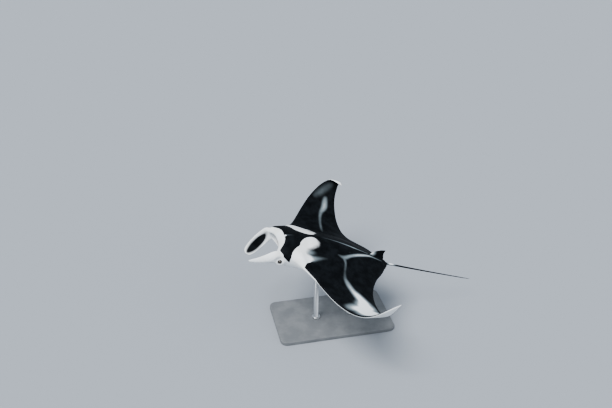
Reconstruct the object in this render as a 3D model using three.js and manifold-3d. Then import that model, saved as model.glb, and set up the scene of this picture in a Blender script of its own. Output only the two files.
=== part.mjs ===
// Reef manta ray (Mobula alfredi), life size, swimming nose-up on a two-rod display stand.
// Millimetres, +Z up. The head points to -X and the right wing to +Y. The origin is on the floor,
// at the centre of the stand's underside.
//
// The ray is first drawn flat, in fractions of its disc width: x runs aft from the front of the
// head, y out to one side and z up. Its wings are then bent up, and it is pitched and lifted.
import * as THREE from "three";
import { mergeGeometries, mergeVertices } from "three/addons/utils/BufferGeometryUtils.js";
import Module from "manifold-3d";

const wasm = await Module();
wasm.setup();

// ---- driving dimensions, mm and degrees ----------------------------------------------------
const DISC_WIDTH = 3300;
const GAP = 0.4;
const PITCH = 20.1;
const RIDE_HEIGHT = 1000;
const STAND = { length: 1500, width: 900, thickness: 50, corner: 90, cornerSteps: 6, chamfer: 6 };
const ROD = { radius: 32, sides: 24, front: 0.185, rear: 0.335 };
const EYE = { radius: 29, at: [0.021, 0.098, -0.022] };

// ---- driving proportions, fractions of the disc width --------------------------------------
// The point of the flat ray that stands over the origin at RIDE_HEIGHT.
const PIVOT = new THREE.Vector3(0.25, 0, 0);
const TIP = [0.368, 0.5];

// Outline of the right half as [x, y], from the midline out to the wing tip.
const FRONT_EDGE = [
  [0.019, 0], [0.017, 0.03], [0.011, 0.06], [0.003, 0.080], [0.005, 0.091], [0.020, 0.1000],
  [0.042, 0.1040], [0.060, 0.110], [0.074, 0.126], [0.104, 0.17], [0.136, 0.22], [0.167, 0.28],
  [0.198, 0.34], [0.233, 0.40], [0.272, 0.45], [0.309, 0.48], [0.342, 0.495], TIP,
];
const REAR_EDGE = [
  [0.484, 0], [0.482, 0.012], [0.476, 0.022], [0.468, 0.034], [0.458, 0.050], [0.445, 0.072],
  [0.430, 0.094], [0.415, 0.113], [0.402, 0.130], [0.380, 0.17], [0.362, 0.22], [0.352, 0.28],
  [0.347, 0.34], [0.345, 0.40], [0.351, 0.45], [0.359, 0.48], [0.366, 0.495], TIP,
];

// Body heights above and below the flat plane, and the half width of the body's hump, by x.
const BACK_HEIGHT = [
  [0, 0.016], [0.03, 0.026], [0.06, 0.035], [0.10, 0.044], [0.16, 0.050], [0.22, 0.049],
  [0.30, 0.041], [0.38, 0.024], [0.44, 0.011], [0.484, 0.004],
];
const BELLY_DEPTH = [
  [0, 0.046], [0.03, 0.050], [0.06, 0.051], [0.12, 0.051], [0.20, 0.052], [0.30, 0.046],
  [0.38, 0.031], [0.44, 0.017], [0.484, 0.010],
];
const HUMP_REACH = [
  [0, 0.30], [0.06, 0.26], [0.12, 0.17], [0.20, 0.175], [0.30, 0.16], [0.40, 0.10], [0.484, 0.05],
];

// Half thickness of the wing, and how far its edges take to round off in front and behind, by y.
const WING_HALF = [[0, 0.0085], [0.20, 0.0080], [0.35, 0.0055], [0.45, 0.0035], [0.5, 0.0020]];
const NOSE_ROUND = [
  [0, 0.030], [0.10, 0.030], [0.15, 0.018], [0.25, 0.013], [0.40, 0.009], [0.5, 0.006],
];
const TRAIL_ROUND = [
  [0, 0.016], [0.06, 0.030], [0.13, 0.060], [0.30, 0.080], [0.42, 0.050], [0.5, 0.015],
];

// The upper lip is arched, and the lower jaw is set back behind it. The mouth is a flattened ball
// whose sides are squared off: the lower `corner`, the squarer.
const LIP_ARCH = { height: 0.008, halfWidth: 0.085, length: 0.12 };
const JAW_SET_BACK = { slope: 0.6, from: 0.02, to: 0.20 };
const MOUTH = { centre: [0.030, 0, -0.014], reach: [0.080, 0.075, 0.025], corner: 0.55 };

// Wing bend: the angle of the wing's span above the flat plane, in degrees, by distance out from
// the midline. The bend axis is swept back by up to `sweep` degrees towards the tips.
const RIGHT_WING = {
  side: 1, sweep: 7.3,
  rise: [
    [0, 0], [0.08, 0], [0.15, -10.6], [0.22, 1], [0.30, 19], [0.38, 42], [0.44, 61],
    [0.470, 72], [0.481, 108], [0.492, 165], [0.505, 210],
  ],
};
const LEFT_WING = {
  side: -1, sweep: 18.1,
  rise: [
    [0, 0], [0.08, 0], [0.15, -9.3], [0.22, -7.6], [0.30, 3.3], [0.38, 21.7], [0.46, 60],
    [0.56, 100],
  ],
};
const SWEEP_REACH = 0.30;

// Cephalic lobes: upper and lower edges as [x, y, z], from inside the head out to the tip.
const LOBE_HALF = [[0, 0.012], [0.25, 0.010], [0.6, 0.006], [1, 0.0035]];
const LOBE_BULGE = 0.009;
const LOBE_ROUND = { root: 0.12, tip: 0.10 };
const RIGHT_LOBE = {
  upper: [
    [0.040, 0.088, 0.000], [-0.001, 0.092, 0.008], [-0.024, 0.092, -0.016],
    [-0.046, 0.082, -0.045], [-0.063, 0.067, -0.070], [-0.069, 0.055, -0.084],
    [-0.064, 0.044, -0.094],
  ],
  lower: [
    [0.060, 0.080, -0.028], [0.027, 0.082, -0.035], [0.010, 0.073, -0.050],
    [-0.008, 0.061, -0.067], [-0.030, 0.047, -0.086], [-0.048, 0.041, -0.096],
    [-0.064, 0.044, -0.094],
  ],
};
const LEFT_LOBE = {
  upper: [
    [0.040, -0.088, 0.002], [0.004, -0.090, 0.014], [-0.015, -0.092, 0.007],
    [-0.034, -0.090, -0.010], [-0.058, -0.084, -0.032], [-0.074, -0.072, -0.050],
    [-0.080, -0.062, -0.062],
  ],
  lower: [
    [0.060, -0.084, -0.028], [0.026, -0.090, -0.037], [0.008, -0.086, -0.038],
    [-0.015, -0.079, -0.044], [-0.040, -0.071, -0.053], [-0.064, -0.062, -0.062],
    [-0.080, -0.062, -0.062],
  ],
};

// Dorsal fin edges as [x, z], and pelvic fin edges as [x, y], from the root out to the tip.
const DORSAL_FIN = {
  front: [[0.388, 0.018], [0.412, 0.043], [0.436, 0.055], [0.457, 0.059]],
  rear: [[0.466, 0.000], [0.460, 0.026], [0.4545, 0.043], [0.457, 0.059]],
  half: 0.0028,
};
const PELVIC_FIN = {
  inner: [[0.416, 0.004], [0.450, 0.008], [0.470, 0.013], [0.478, 0.022]],
  outer: [[0.406, 0.042], [0.438, 0.043], [0.465, 0.034], [0.478, 0.022]],
  half: 0.0030, z: -0.005,
};
const FIN_ROUND = { root: 0.05, tip: 0.3 };
// Tail radius by x, and how far its root and its end are lifted.
const TAIL_RADIUS = [
  [0.452, 0], [0.456, 0.0052], [0.484, 0.0046], [0.505, 0.0038], [0.560, 0.0031],
  [0.650, 0.0025], [0.750, 0.0019], [0.850, 0.0011], [0.870, 0],
];
const TAIL_LIFT = { from: 0.484, to: 0.870, root: 0.004, height: 0.006 };

// Faceting. Disc columns crowd towards the midline and the wing tips. Their lines leave the side
// of the head squarely: `reach` and `depth` say how far in, and the rest says over which y.
const DISC_GRID = { columns: 60, rows: 15, crowding: 0.08 };
const HEAD_FAN = { reach: 0.012, depth: 0.06, window: 0.05, middle: 0.05, from: 0.11, to: 0.18 };
const LOBE_GRID = { columns: 12, rows: 8 };
const FIN_GRID = { columns: 8, rows: 6 };
const MOUTH_GRID = { around: 18, up: 10 };
const EYE_GRID = { around: 14, up: 8 };
const TAIL_SIDES = 12;

// Where the ray is parted: x and y in the trunk, distance out along the wings, and for the
// lobes and the dorsal fin a hinge point and the tilt of the parting plane about it.
const PARTING = {
  head: { x: 0.118, side: 0.118 },
  jaw: { x: 0.114, side: 0.077, top: -0.024 },
  lobe: { hinge: [-0.005, 0, 0], tilt: -35.6 },
  wing: { inner: 0.145, outer: 0.285, tip: 0.410 },
  tail: { base: 0.486, middle: 0.60, tip: 0.74 },
  pelvic: { x: 0.460, side: 0.0075 },
  dorsal: { hinge: [0.42, 0, 0.0275], tilt: 13.5, ahead: -0.04 },
};

// ---- small tools ---------------------------------------------------------------------------
const { clamp, degToRad, smoothstep } = THREE.MathUtils;

/** Smooth curve through [s, ...values] rows; returns the values at s. */
function through(rows, s) {
  const last = rows.length - 1;
  const at = clamp(s, rows[0][0], rows[last][0]);
  let i = 0;
  while (i < last - 1 && at >= rows[i + 1][0]) i += 1;
  const slope = (k, j) => {
    const a = rows[Math.max(k - 1, 0)];
    const b = rows[Math.min(k + 1, last)];
    return (b[j] - a[j]) / (b[0] - a[0]);
  };
  const h = rows[i + 1][0] - rows[i][0];
  const t = (at - rows[i][0]) / h;
  return rows[i].slice(1).map((start, k) => {
    const end = rows[i + 1][k + 1];
    return (2 * t ** 3 - 3 * t ** 2 + 1) * start + (t ** 3 - 2 * t ** 2 + t) * h * slope(i, k + 1)
      + (3 * t ** 2 - 2 * t ** 3) * end + (t ** 3 - t ** 2) * h * slope(i + 1, k + 1);
  });
}
const value = (rows, s) => through(rows, s)[0];

const TINY = 1e-6;
const SLOPE_STEP = 0.02;
const WELD = 1e-7;

/** Curve through points of two or three coordinates, taken by its share of length from 0 to 1. */
function edgeCurve(points) {
  let length = 0;
  const rows = points.map((point, i) => {
    if (i > 0) length += Math.hypot(...point.map((c, k) => c - points[i - 1][k]));
    return [length, ...point];
  });
  return (share) => through(rows, share * length);
}

/** Quarter-round edge profile: 0 at the edge, 1 from `reach` inwards. */
function roundEdge(distance, reach) {
  const t = clamp(distance / reach, 0, 1);
  return Math.sqrt(1 - (1 - t) ** 2);
}

/** Height of a half ellipse from 0 at its ends to 1 in the middle, by share of its width. */
const ellipse = (share) => Math.sqrt(Math.max(0, 1 - (2 * share - 1) ** 2));

/** Two sheets over one square, meeting at its border. `place(u, v, face)` gives each point. */
function pillow(columns, rows, place) {
  const sheets = [1, -1].map((face) => {
    const sheet = new THREE.PlaneGeometry(1, 1, columns, rows);
    const position = sheet.attributes.position;
    for (let i = 0; i < position.count; i += 1) {
      const u = position.getX(i) + 0.5;
      const v = 0.5 - position.getY(i);
      position.setXYZ(i, ...place(u, v, face));
    }
    if (face < 0) flip(sheet);
    return sheet;
  });
  return mergeGeometries(sheets);
}

function flip(geometry) {
  const index = geometry.index.array;
  for (let i = 0; i < index.length; i += 3) [index[i], index[i + 1]] = [index[i + 1], index[i]];
}

/** Closed solid of a geometry, with its shared corners joined and its flat triangles dropped. */
function solidOf(geometry) {
  const bare = geometry.clone();
  bare.deleteAttribute("normal");
  bare.deleteAttribute("uv");
  const merged = mergeVertices(bare, WELD);
  if (enclosed(merged) < 0) flip(merged);
  const corners = [];
  const index = merged.index.array;
  for (let i = 0; i < index.length; i += 3) {
    const [a, b, c] = index.slice(i, i + 3);
    if (a !== b && b !== c && c !== a) corners.push(a, b, c);
  }
  return new wasm.Manifold(new wasm.Mesh({
    numProp: 3,
    vertProperties: new Float32Array(merged.attributes.position.array),
    triVerts: new Uint32Array(corners),
  }));
}

/** Volume inside an indexed closed surface, negative where its faces point inwards. */
function enclosed({ index, attributes: { position } }) {
  const corner = (i) => new THREE.Vector3().fromBufferAttribute(position, index.getX(i));
  let volume = 0;
  for (let i = 0; i < index.count; i += 3) {
    volume += corner(i).dot(corner(i + 1).cross(corner(i + 2))) / 6;
  }
  return volume;
}

function geometryOf(solid) {
  const mesh = solid.getMesh();
  const geometry = new THREE.BufferGeometry();
  geometry.setAttribute("position", new THREE.BufferAttribute(mesh.vertProperties, 3));
  geometry.setIndex(new THREE.BufferAttribute(mesh.triVerts, 1));
  geometry.computeVertexNormals();
  return geometry;
}

// ---- flat ray ------------------------------------------------------------------------------
const frontEdge = edgeCurve(FRONT_EDGE);
const rearEdge = edgeCurve(REAR_EDGE);
const EDGE_SAMPLES = 240;
const sampled = (edge) => Array.from({ length: EDGE_SAMPLES + 1 }, (_, i) => edge(i / EDGE_SAMPLES));
const frontSamples = sampled(frontEdge);
const rearSamples = sampled(rearEdge);

/** Distance from a point to a sampled edge. */
function distanceTo(samples, x, y) {
  let least = Infinity;
  for (let i = 1; i < samples.length; i += 1) {
    const [ax, ay] = samples[i - 1];
    const [bx, by] = samples[i];
    const length = Math.hypot(bx - ax, by - ay);
    const share = clamp(((x - ax) * (bx - ax) + (y - ay) * (by - ay)) / length ** 2, 0, 1);
    least = Math.min(least, Math.hypot(ax + (bx - ax) * share - x, ay + (by - ay) * share - y));
  }
  return least;
}

/** Body and wings: u runs from the left tip to the right tip, v from the front edge to the rear. */
function discPoint(u, v, face) {
  const across = 2 * u - 1;
  const crowding = DISC_GRID.crowding * Math.sin(2 * Math.PI * Math.abs(across));
  const share = Math.abs(across) - crowding;
  const [frontX, frontY] = frontEdge(share);
  const [rearX, rearY] = rearEdge(share);
  const back = (1 - Math.cos(Math.PI * v)) / 2;
  const [aheadX, aheadY] = frontEdge(Math.min(share + HEAD_FAN.window, 1));
  const [behindX, behindY] = frontEdge(Math.max(share - HEAD_FAN.window, 0));
  const along = new THREE.Vector2(aheadX - behindX, aheadY - behindY).normalize();
  const inward = HEAD_FAN.reach * back * Math.exp(1 - back / HEAD_FAN.depth) / HEAD_FAN.depth
    * (1 - smoothstep(frontY, HEAD_FAN.from, HEAD_FAN.to)) * smoothstep(frontY, 0, HEAD_FAN.middle);
  let x = THREE.MathUtils.lerp(frontX, rearX, back) + along.y * inward;
  const y = THREE.MathUtils.lerp(frontY, rearY, back) - along.x * inward;
  const hump = Math.cos((Math.PI / 2) * Math.min(y / value(HUMP_REACH, x), 1)) ** 2;
  const body = value(face > 0 ? BACK_HEIGHT : BELLY_DEPTH, x);
  const half = body * hump + value(WING_HALF, y);
  const onBorder = Math.min(v, 1 - v, 1 - Math.abs(across)) < TINY;
  const edges = onBorder ? 0 : roundEdge(distanceTo(frontSamples, x, y), value(NOSE_ROUND, y))
    * roundEdge(distanceTo(rearSamples, x, y), value(TRAIL_ROUND, y));
  const arch = LIP_ARCH.height * Math.max(0, 1 - (y / LIP_ARCH.halfWidth) ** 2)
    * (1 - smoothstep(x - frontX, 0, LIP_ARCH.length));
  const z = arch + face * half * edges;
  x += JAW_SET_BACK.slope * Math.max(0, -z) * (1 - smoothstep(x, JAW_SET_BACK.from, JAW_SET_BACK.to));
  return [x, across < 0 ? -y : y, z];
}

/** Mouth cavity, open through the front of the head. */
function mouthCavity() {
  const ball = new THREE.SphereGeometry(1, MOUTH_GRID.around, MOUTH_GRID.up);
  const position = ball.attributes.position;
  const squared = (c) => Math.sign(c) * Math.abs(c) ** MOUTH.corner;
  for (let i = 0; i < position.count; i += 1) {
    const x = MOUTH.centre[0] + MOUTH.reach[0] * position.getX(i);
    const y = MOUTH.reach[1] * squared(position.getZ(i));
    const z = MOUTH.centre[2] + MOUTH.reach[2] * position.getY(i);
    position.setXYZ(i, x, -y, z);
  }
  return solidOf(ball);
}

/** Cephalic lobe: a spoon-shaped paddle hung between two edges, bulging away from the mouth. */
function lobe({ upper, lower }) {
  const top = edgeCurve(upper);
  const bottom = edgeCurve(lower);
  const side = Math.sign(upper[0][1]);
  return pillow(LOBE_GRID.columns, LOBE_GRID.rows, (u, v, face) => {
    const along = (1 - Math.cos(Math.PI * u)) / 2;
    const down = (1 - Math.cos(Math.PI * v)) / 2;
    const a = new THREE.Vector3(...top(along));
    const b = new THREE.Vector3(...bottom(along));
    const next = new THREE.Vector3(...top(Math.min(along + SLOPE_STEP, 1)));
    const previous = new THREE.Vector3(...top(Math.max(along - SLOPE_STEP, 0)));
    const ahead = next.sub(previous);
    const outward = ahead.cross(b.clone().sub(a)).normalize().multiplyScalar(-side);
    if (b.distanceTo(a) < TINY) outward.set(0, side, 0);
    const ends = roundEdge(along, LOBE_ROUND.root) * roundEdge(1 - along, LOBE_ROUND.tip);
    const bulge = LOBE_BULGE * 4 * down * (1 - down) * Math.sin(Math.PI * along);
    const offset = bulge + face * side * value(LOBE_HALF, along) * ends * ellipse(down);
    return a.lerp(b, down).addScaledVector(outward, offset).toArray();
  });
}

/** Thin fin between two edges. `lift` puts a point of the fin's plane and its side offset in space. */
function fin(frontPoints, rearPoints, half, lift) {
  const front = edgeCurve(frontPoints);
  const rear = edgeCurve(rearPoints);
  return pillow(FIN_GRID.columns, FIN_GRID.rows, (u, v, face) => {
    const across = (1 - Math.cos(Math.PI * v)) / 2;
    const [ax, ay] = front(u);
    const [bx, by] = rear(u);
    const ends = roundEdge(u, FIN_ROUND.root) * roundEdge(1 - u, FIN_ROUND.tip);
    const offset = face * half * ends * ellipse(across);
    return lift(ax + (bx - ax) * across, ay + (by - ay) * across, offset);
  });
}

function tail() {
  const profile = TAIL_RADIUS.map(([x, radius]) => new THREE.Vector2(radius, x));
  const whip = new THREE.LatheGeometry(profile, TAIL_SIDES);
  whip.rotateZ(-Math.PI / 2);
  const position = whip.attributes.position;
  for (let i = 0; i < position.count; i += 1) {
    const { from, to, root, height } = TAIL_LIFT;
    const share = clamp((position.getX(i) - from) / (to - from), 0, 1);
    position.setZ(i, position.getZ(i) + root + height * share ** 2);
  }
  return solidOf(whip);
}

function flatRay() {
  const disc = solidOf(pillow(DISC_GRID.columns, DISC_GRID.rows, discPoint));
  const dorsal = fin(DORSAL_FIN.front, DORSAL_FIN.rear, DORSAL_FIN.half, (x, z, off) => [x, off, z]);
  const { inner, outer, half, z } = PELVIC_FIN;
  const pelvic = (side) => fin(inner, outer, half, (x, y, off) => [x, side * y, z + off * side]);
  return disc
    .subtract(mouthCavity())
    .add(solidOf(lobe(RIGHT_LOBE)))
    .add(solidOf(lobe(LEFT_LOBE)))
    .add(solidOf(dorsal))
    .add(solidOf(pelvic(1)))
    .add(solidOf(pelvic(-1)))
    .add(tail());
}

// ---- swimming pose -------------------------------------------------------------------------
const BEND_STEPS = 600;
const BEND_REACH = 0.6;
const BEND_STEP = BEND_REACH / BEND_STEPS;

/** Along the bent span, by steps out: its angle, and how far it has come in and up. */
function bendTable({ rise }) {
  const rows = [[0, 0, 0]];
  for (let i = 1; i <= BEND_STEPS; i += 1) {
    const [lastAngle, inward, up] = rows[i - 1];
    const angle = degToRad(value(rise, i * BEND_STEP));
    const middle = (lastAngle + angle) / 2;
    rows.push([
      angle,
      inward + (Math.cos(middle) - 1) * BEND_STEP,
      up + Math.sin(middle) * BEND_STEP,
    ]);
  }
  return rows;
}
const BENDS = new Map([RIGHT_WING, LEFT_WING].map((wing) => [wing, bendTable(wing)]));

/** Bends a flat point with its wing. */
function bent(point) {
  const wing = point.y < 0 ? LEFT_WING : RIGHT_WING;
  const table = BENDS.get(wing);
  const y = Math.abs(point.y);
  const sweep = degToRad(wing.sweep) * smoothstep(y, 0, SWEEP_REACH);
  const out = (point.x - PIVOT.x) * Math.sin(sweep) + y * Math.cos(sweep);
  const i = clamp(out / BEND_STEP, 0, BEND_STEPS - TINY);
  const next = table[Math.floor(i) + 1];
  const [angle, inward, up] = table[Math.floor(i)].map((c, k) => c + (next[k] - c) * (i % 1));
  const shift = inward - Math.sin(angle) * point.z;
  return new THREE.Vector3(
    point.x + Math.sin(sweep) * shift,
    wing.side * (y + Math.cos(sweep) * shift),
    up + Math.cos(angle) * point.z,
  );
}

/** Flat fractions to millimetres on the stand: pitched nose-up about the pivot and lifted. */
const stance = new THREE.Matrix4()
  .makeTranslation(0, 0, RIDE_HEIGHT)
  .multiply(new THREE.Matrix4().makeRotationY(degToRad(PITCH)))
  .multiply(new THREE.Matrix4().makeScale(DISC_WIDTH, DISC_WIDTH, DISC_WIDTH))
  .multiply(new THREE.Matrix4().makeTranslation(-PIVOT.x, -PIVOT.y, -PIVOT.z));
const posed = (x, y, z) => bent(new THREE.Vector3(x, y, z)).applyMatrix4(stance);

function posedSolid(flat) {
  const mesh = flat.getMesh();
  const position = mesh.vertProperties;
  for (let i = 0; i < position.length; i += 3) {
    posed(...position.slice(i, i + 3)).toArray(position, i);
  }
  return new wasm.Manifold(mesh);
}

// ---- parting -------------------------------------------------------------------------------
// Far enough to clear the whole ray: millimetres for a wing's block, fractions for the trunk's.
const FAR = 4000;
const ROOM = 1;

/** Parts a solid at a block: the piece inside it, and the rest, with the parting gap between. */
function partAt(solid, makeBlock) {
  return { piece: solid.intersect(makeBlock(0)), rest: solid.subtract(makeBlock(GAP)) };
}

/**
 * Block of the unbent trunk between low and high corners, both measured from a hinge point and
 * all in fractions. The block is turned about the hinge, tail end down, by `tilt` degrees.
 */
function trunkBlock(low, high, hinge = [0, 0, 0], tilt = 0) {
  const turn = new THREE.Matrix4().makeRotationY(degToRad(tilt));
  const middle = new THREE.Vector3(...low.map((c, k) => (c + high[k]) / 2)).applyMatrix4(turn);
  const centre = middle.add(new THREE.Vector3(...hinge)).applyMatrix4(stance);
  const size = low.map((c, k) => (high[k] - c) * DISC_WIDTH);
  return (grow) => {
    const box = new THREE.BoxGeometry(...size.map((c) => c + 2 * grow));
    box.rotateY(degToRad(PITCH + tilt));
    box.translate(...centre.toArray());
    return solidOf(box);
  };
}

/** Half space outboard of a distance out along a wing, square to the bent span there. */
function outboardBlock(wing, out) {
  const edge = posed(PIVOT.x, wing.side * out, 0);
  const next = posed(PIVOT.x, wing.side * (out + SLOPE_STEP / 2), 0);
  const span = next.sub(edge).normalize();
  const turn = new THREE.Quaternion().setFromUnitVectors(new THREE.Vector3(0, wing.side, 0), span);
  return (grow) => {
    const box = new THREE.BoxGeometry(FAR, FAR, FAR);
    box.translate(0, wing.side * (FAR / 2 - grow), 0);
    box.applyQuaternion(turn);
    box.translate(edge.x, edge.y, edge.z);
    return solidOf(box);
  };
}

// ---- eyes and stand ------------------------------------------------------------------------
function eyeBall(side, grow = 0) {
  const [x, y, z] = EYE.at;
  const ball = new THREE.SphereGeometry(EYE.radius + grow, EYE_GRID.around, EYE_GRID.up);
  ball.translate(...posed(x, side * y, z).toArray());
  return solidOf(ball);
}

function standBase() {
  const { length, width, thickness, corner, chamfer } = STAND;
  const x = length / 2 - corner;
  const y = width / 2 - corner;
  const outline = new THREE.Shape();
  outline.absarc(x, y, corner, 0, Math.PI / 2);
  outline.absarc(-x, y, corner, Math.PI / 2, Math.PI);
  outline.absarc(-x, -y, corner, Math.PI, Math.PI * 1.5);
  outline.absarc(x, -y, corner, Math.PI * 1.5, Math.PI * 2);
  const plate = new THREE.ExtrudeGeometry(outline, {
    depth: thickness - 2 * chamfer,
    curveSegments: STAND.cornerSteps,
    bevelSize: chamfer,
    bevelThickness: chamfer,
    bevelOffset: -chamfer,
    bevelSegments: 1,
  });
  plate.translate(0, 0, chamfer);
  return solidOf(plate);
}

/** Upright rod from the base up to the belly, its top cut to the belly's shape. */
function standRod(x, ray) {
  const foot = STAND.thickness + GAP;
  const top = posed(x, 0, 0);
  const rod = new THREE.CylinderGeometry(ROD.radius, ROD.radius, top.z - foot, ROD.sides);
  rod.rotateX(Math.PI / 2);
  rod.translate(top.x, 0, (top.z + foot) / 2);
  return solidOf(rod).subtract(ray.translate([0, 0, -GAP]));
}

// ---- assembly ------------------------------------------------------------------------------
const HIDE = { color: 0x14191c, roughness: 0.55, metalness: 0 };
const PALE = { color: 0xdfe3e0, roughness: 0.55, metalness: 0 };
const EYE_BLACK = { color: 0x08090b, roughness: 0.12, metalness: 0 };
const STAND_PAINT = { color: 0x2b2d30, roughness: 0.5, metalness: 0.1 };
const STEEL = { color: 0xa8abad, roughness: 0.3, metalness: 1 };

const manta = new THREE.Group();
function addNode(name, solid, look) {
  const mesh = new THREE.Mesh(geometryOf(solid), new THREE.MeshStandardMaterial(look));
  mesh.name = name;
  manta.add(mesh);
}

const ray = posedSolid(flatRay());
let body = ray;
function takeNode(name, makeBlock, look = HIDE) {
  const { piece, rest } = partAt(body, makeBlock);
  addNode(name, piece, look);
  body = rest;
}

const PAIR = [["right", 1], ["left", -1]];
for (const [name, wing] of [["right", RIGHT_WING], ["left", LEFT_WING]]) {
  takeNode(`wing_tip_${name}`, outboardBlock(wing, PARTING.wing.tip));
  takeNode(`wing_outer_${name}`, outboardBlock(wing, PARTING.wing.outer));
  takeNode(`wing_inner_${name}`, outboardBlock(wing, PARTING.wing.inner));
}

const { head, jaw, lobe: lobeCut, tail: tailCut, pelvic, dorsal } = PARTING;
const behind = (x) => trunkBlock([x, -ROOM, -ROOM], [ROOM, ROOM, ROOM]);
takeNode("tail_tip", behind(tailCut.tip));
takeNode("tail_middle", behind(tailCut.middle));
for (const [name, side] of PAIR) {
  const low = [pelvic.x, side > 0 ? pelvic.side : -ROOM, -ROOM];
  const high = [ROOM, side > 0 ? ROOM : -pelvic.side, ROOM];
  takeNode(`pelvic_fin_${name}`, trunkBlock(low, high), PALE);
}
takeNode("tail_base", behind(tailCut.base));
const aboveBack = trunkBlock([dorsal.ahead, -ROOM, 0], [ROOM, ROOM, ROOM], dorsal.hinge, dorsal.tilt);
takeNode("dorsal_fin", aboveBack);
for (const [name, side] of PAIR) {
  const low = [-ROOM, Math.min(side, 0), -ROOM];
  const high = [0, Math.max(side, 0), ROOM];
  takeNode(`cephalic_lobe_${name}`, trunkBlock(low, high, lobeCut.hinge, lobeCut.tilt), PALE);
}
for (const [name, side] of PAIR) {
  addNode(`eye_${name}`, eyeBall(side), EYE_BLACK);
  body = body.subtract(eyeBall(side, GAP));
}
takeNode("lower_jaw", trunkBlock([-ROOM, -jaw.side, -ROOM], [jaw.x, jaw.side, jaw.top]), PALE);
takeNode("head", trunkBlock([-ROOM, -head.side, -ROOM], [head.x, head.side, ROOM]));
addNode("trunk", body, HIDE);

addNode("stand_base", standBase(), STAND_PAINT);
addNode("stand_rod_front", standRod(ROD.front, ray), STEEL);
addNode("stand_rod_rear", standRod(ROD.rear, ray), STEEL);

export default manta;
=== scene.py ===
"""Looks of a life-size reef manta ray, carried nose-up on a plain two-rod display stand.

The ray is drawn flat first, in shares of its wing span: x runs aft from the front of the head,
y out to the right and z up. It is joined, detailed and marked in that flat form, and then its
wings are bent up and it is pitched, scaled and set over the stand.
"""

import logging
import math
from collections.abc import Callable, Iterable, Iterator, Sequence
from contextlib import contextmanager
from dataclasses import dataclass, field
from enum import Enum
from typing import Any, TypeAlias

import bmesh
import bpy
import numpy as np
from bmesh.types import BMesh, BMVert
from bpy.types import Material, NodeSocket, Object
from mathutils import Matrix, Vector
from mathutils.kdtree import KDTree


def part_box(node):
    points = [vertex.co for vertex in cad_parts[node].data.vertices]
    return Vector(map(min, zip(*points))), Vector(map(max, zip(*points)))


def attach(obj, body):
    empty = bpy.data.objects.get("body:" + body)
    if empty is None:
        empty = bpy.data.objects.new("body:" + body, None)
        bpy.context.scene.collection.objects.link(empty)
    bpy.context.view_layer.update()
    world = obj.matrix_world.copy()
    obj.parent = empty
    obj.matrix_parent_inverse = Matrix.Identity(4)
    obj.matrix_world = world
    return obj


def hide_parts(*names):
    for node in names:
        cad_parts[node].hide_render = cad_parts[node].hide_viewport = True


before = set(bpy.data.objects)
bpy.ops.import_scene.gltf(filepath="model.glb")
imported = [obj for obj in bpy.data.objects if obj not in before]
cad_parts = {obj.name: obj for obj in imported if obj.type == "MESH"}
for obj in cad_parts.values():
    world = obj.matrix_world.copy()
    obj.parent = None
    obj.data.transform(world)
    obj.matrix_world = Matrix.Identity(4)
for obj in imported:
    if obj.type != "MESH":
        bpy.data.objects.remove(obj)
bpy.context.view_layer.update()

log = logging.getLogger("manta")
Array = np.ndarray
Rows = Sequence[Sequence[float]]
Pair = tuple[float, float]
Triple = tuple[float, float, float]
Colour = tuple[float, float, float, float]

SPAN = 3.3
PITCH = 20.1
RIDE_HEIGHT = 1.0
PIVOT_X = 0.25
TINY = 1e-6
SIDES = (("right", 1), ("left", -1))


# ---- curves and small maths ----------------------------------------------------------------------
def smooth(x: Array, low: float, high: float) -> Array:
    """Smooth step from 0 at low to 1 at high."""
    t = np.clip((x - low) / (high - low), 0, 1)
    return t * t * (3 - 2 * t)


def round_edge(distance: Array, reach: Array | float) -> Array:
    """Quarter-round edge profile: 0 at the edge, 1 from `reach` inwards."""
    t = np.clip(distance / reach, 0, 1)
    return np.sqrt(1 - (1 - t) ** 2)


def ellipse(share: Array) -> Array:
    """Height of a half ellipse by share of its width, 0 at its ends and 1 in the middle."""
    return np.sqrt(np.maximum(0, 1 - (2 * share - 1) ** 2))


def cosine_share(t: Array) -> Array:
    """Share from 0 to 1 that crowds towards both ends."""
    return (1 - np.cos(np.pi * t)) / 2


class Curve:
    """Smooth curve through rows of [s, value, ...]."""

    def __init__(self, rows: Rows) -> None:
        """Works out the slope at each row from its neighbours.

        Args:
            rows: One row for each point, with s rising.
        """
        table = np.array(rows, float)
        self.s = table[:, 0]
        self.values = table[:, 1:]
        before = np.vstack([table[:1], table[:-1]])
        after = np.vstack([table[1:], table[-1:]])
        rise = after - before
        self.slopes = rise[:, 1:] / rise[:, :1]

    def __call__(self, s: Array | float) -> Array:
        """Values at s.

        Args:
            s: Where to read the curve.

        Returns:
            One value for each s, or one row of values where the curve has several.
        """
        s = np.clip(np.asarray(s, float), self.s[0], self.s[-1])
        i = np.clip(np.searchsorted(self.s, s, side="right") - 1, 0, len(self.s) - 2)
        h = (self.s[i + 1] - self.s[i])[..., None]
        t = (s - self.s[i])[..., None] / h
        found = (
            (2 * t**3 - 3 * t**2 + 1) * self.values[i]
            + (t**3 - 2 * t**2 + t) * h * self.slopes[i]
            + (3 * t**2 - 2 * t**3) * self.values[i + 1]
            + (t**3 - t**2) * h * self.slopes[i + 1]
        )
        return found[..., 0] if found.shape[-1] == 1 else found


class EdgeCurve(Curve):
    """Curve through points, taken by its share of length from 0 to 1."""

    def __init__(self, points: Rows) -> None:
        """Measures the points' chords.

        Args:
            points: Points of two or three coordinates.
        """
        spots = np.array(points, float)
        steps = np.linalg.norm(np.diff(spots, axis=0), axis=1)
        self.length = float(steps.sum())
        lengths = np.concatenate([[0.0], np.cumsum(steps)])
        super().__init__(np.column_stack([lengths, spots]))

    def __call__(self, share: Array | float) -> Array:
        """Points at shares of the length."""
        return super().__call__(np.asarray(share, float) * self.length)


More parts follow.
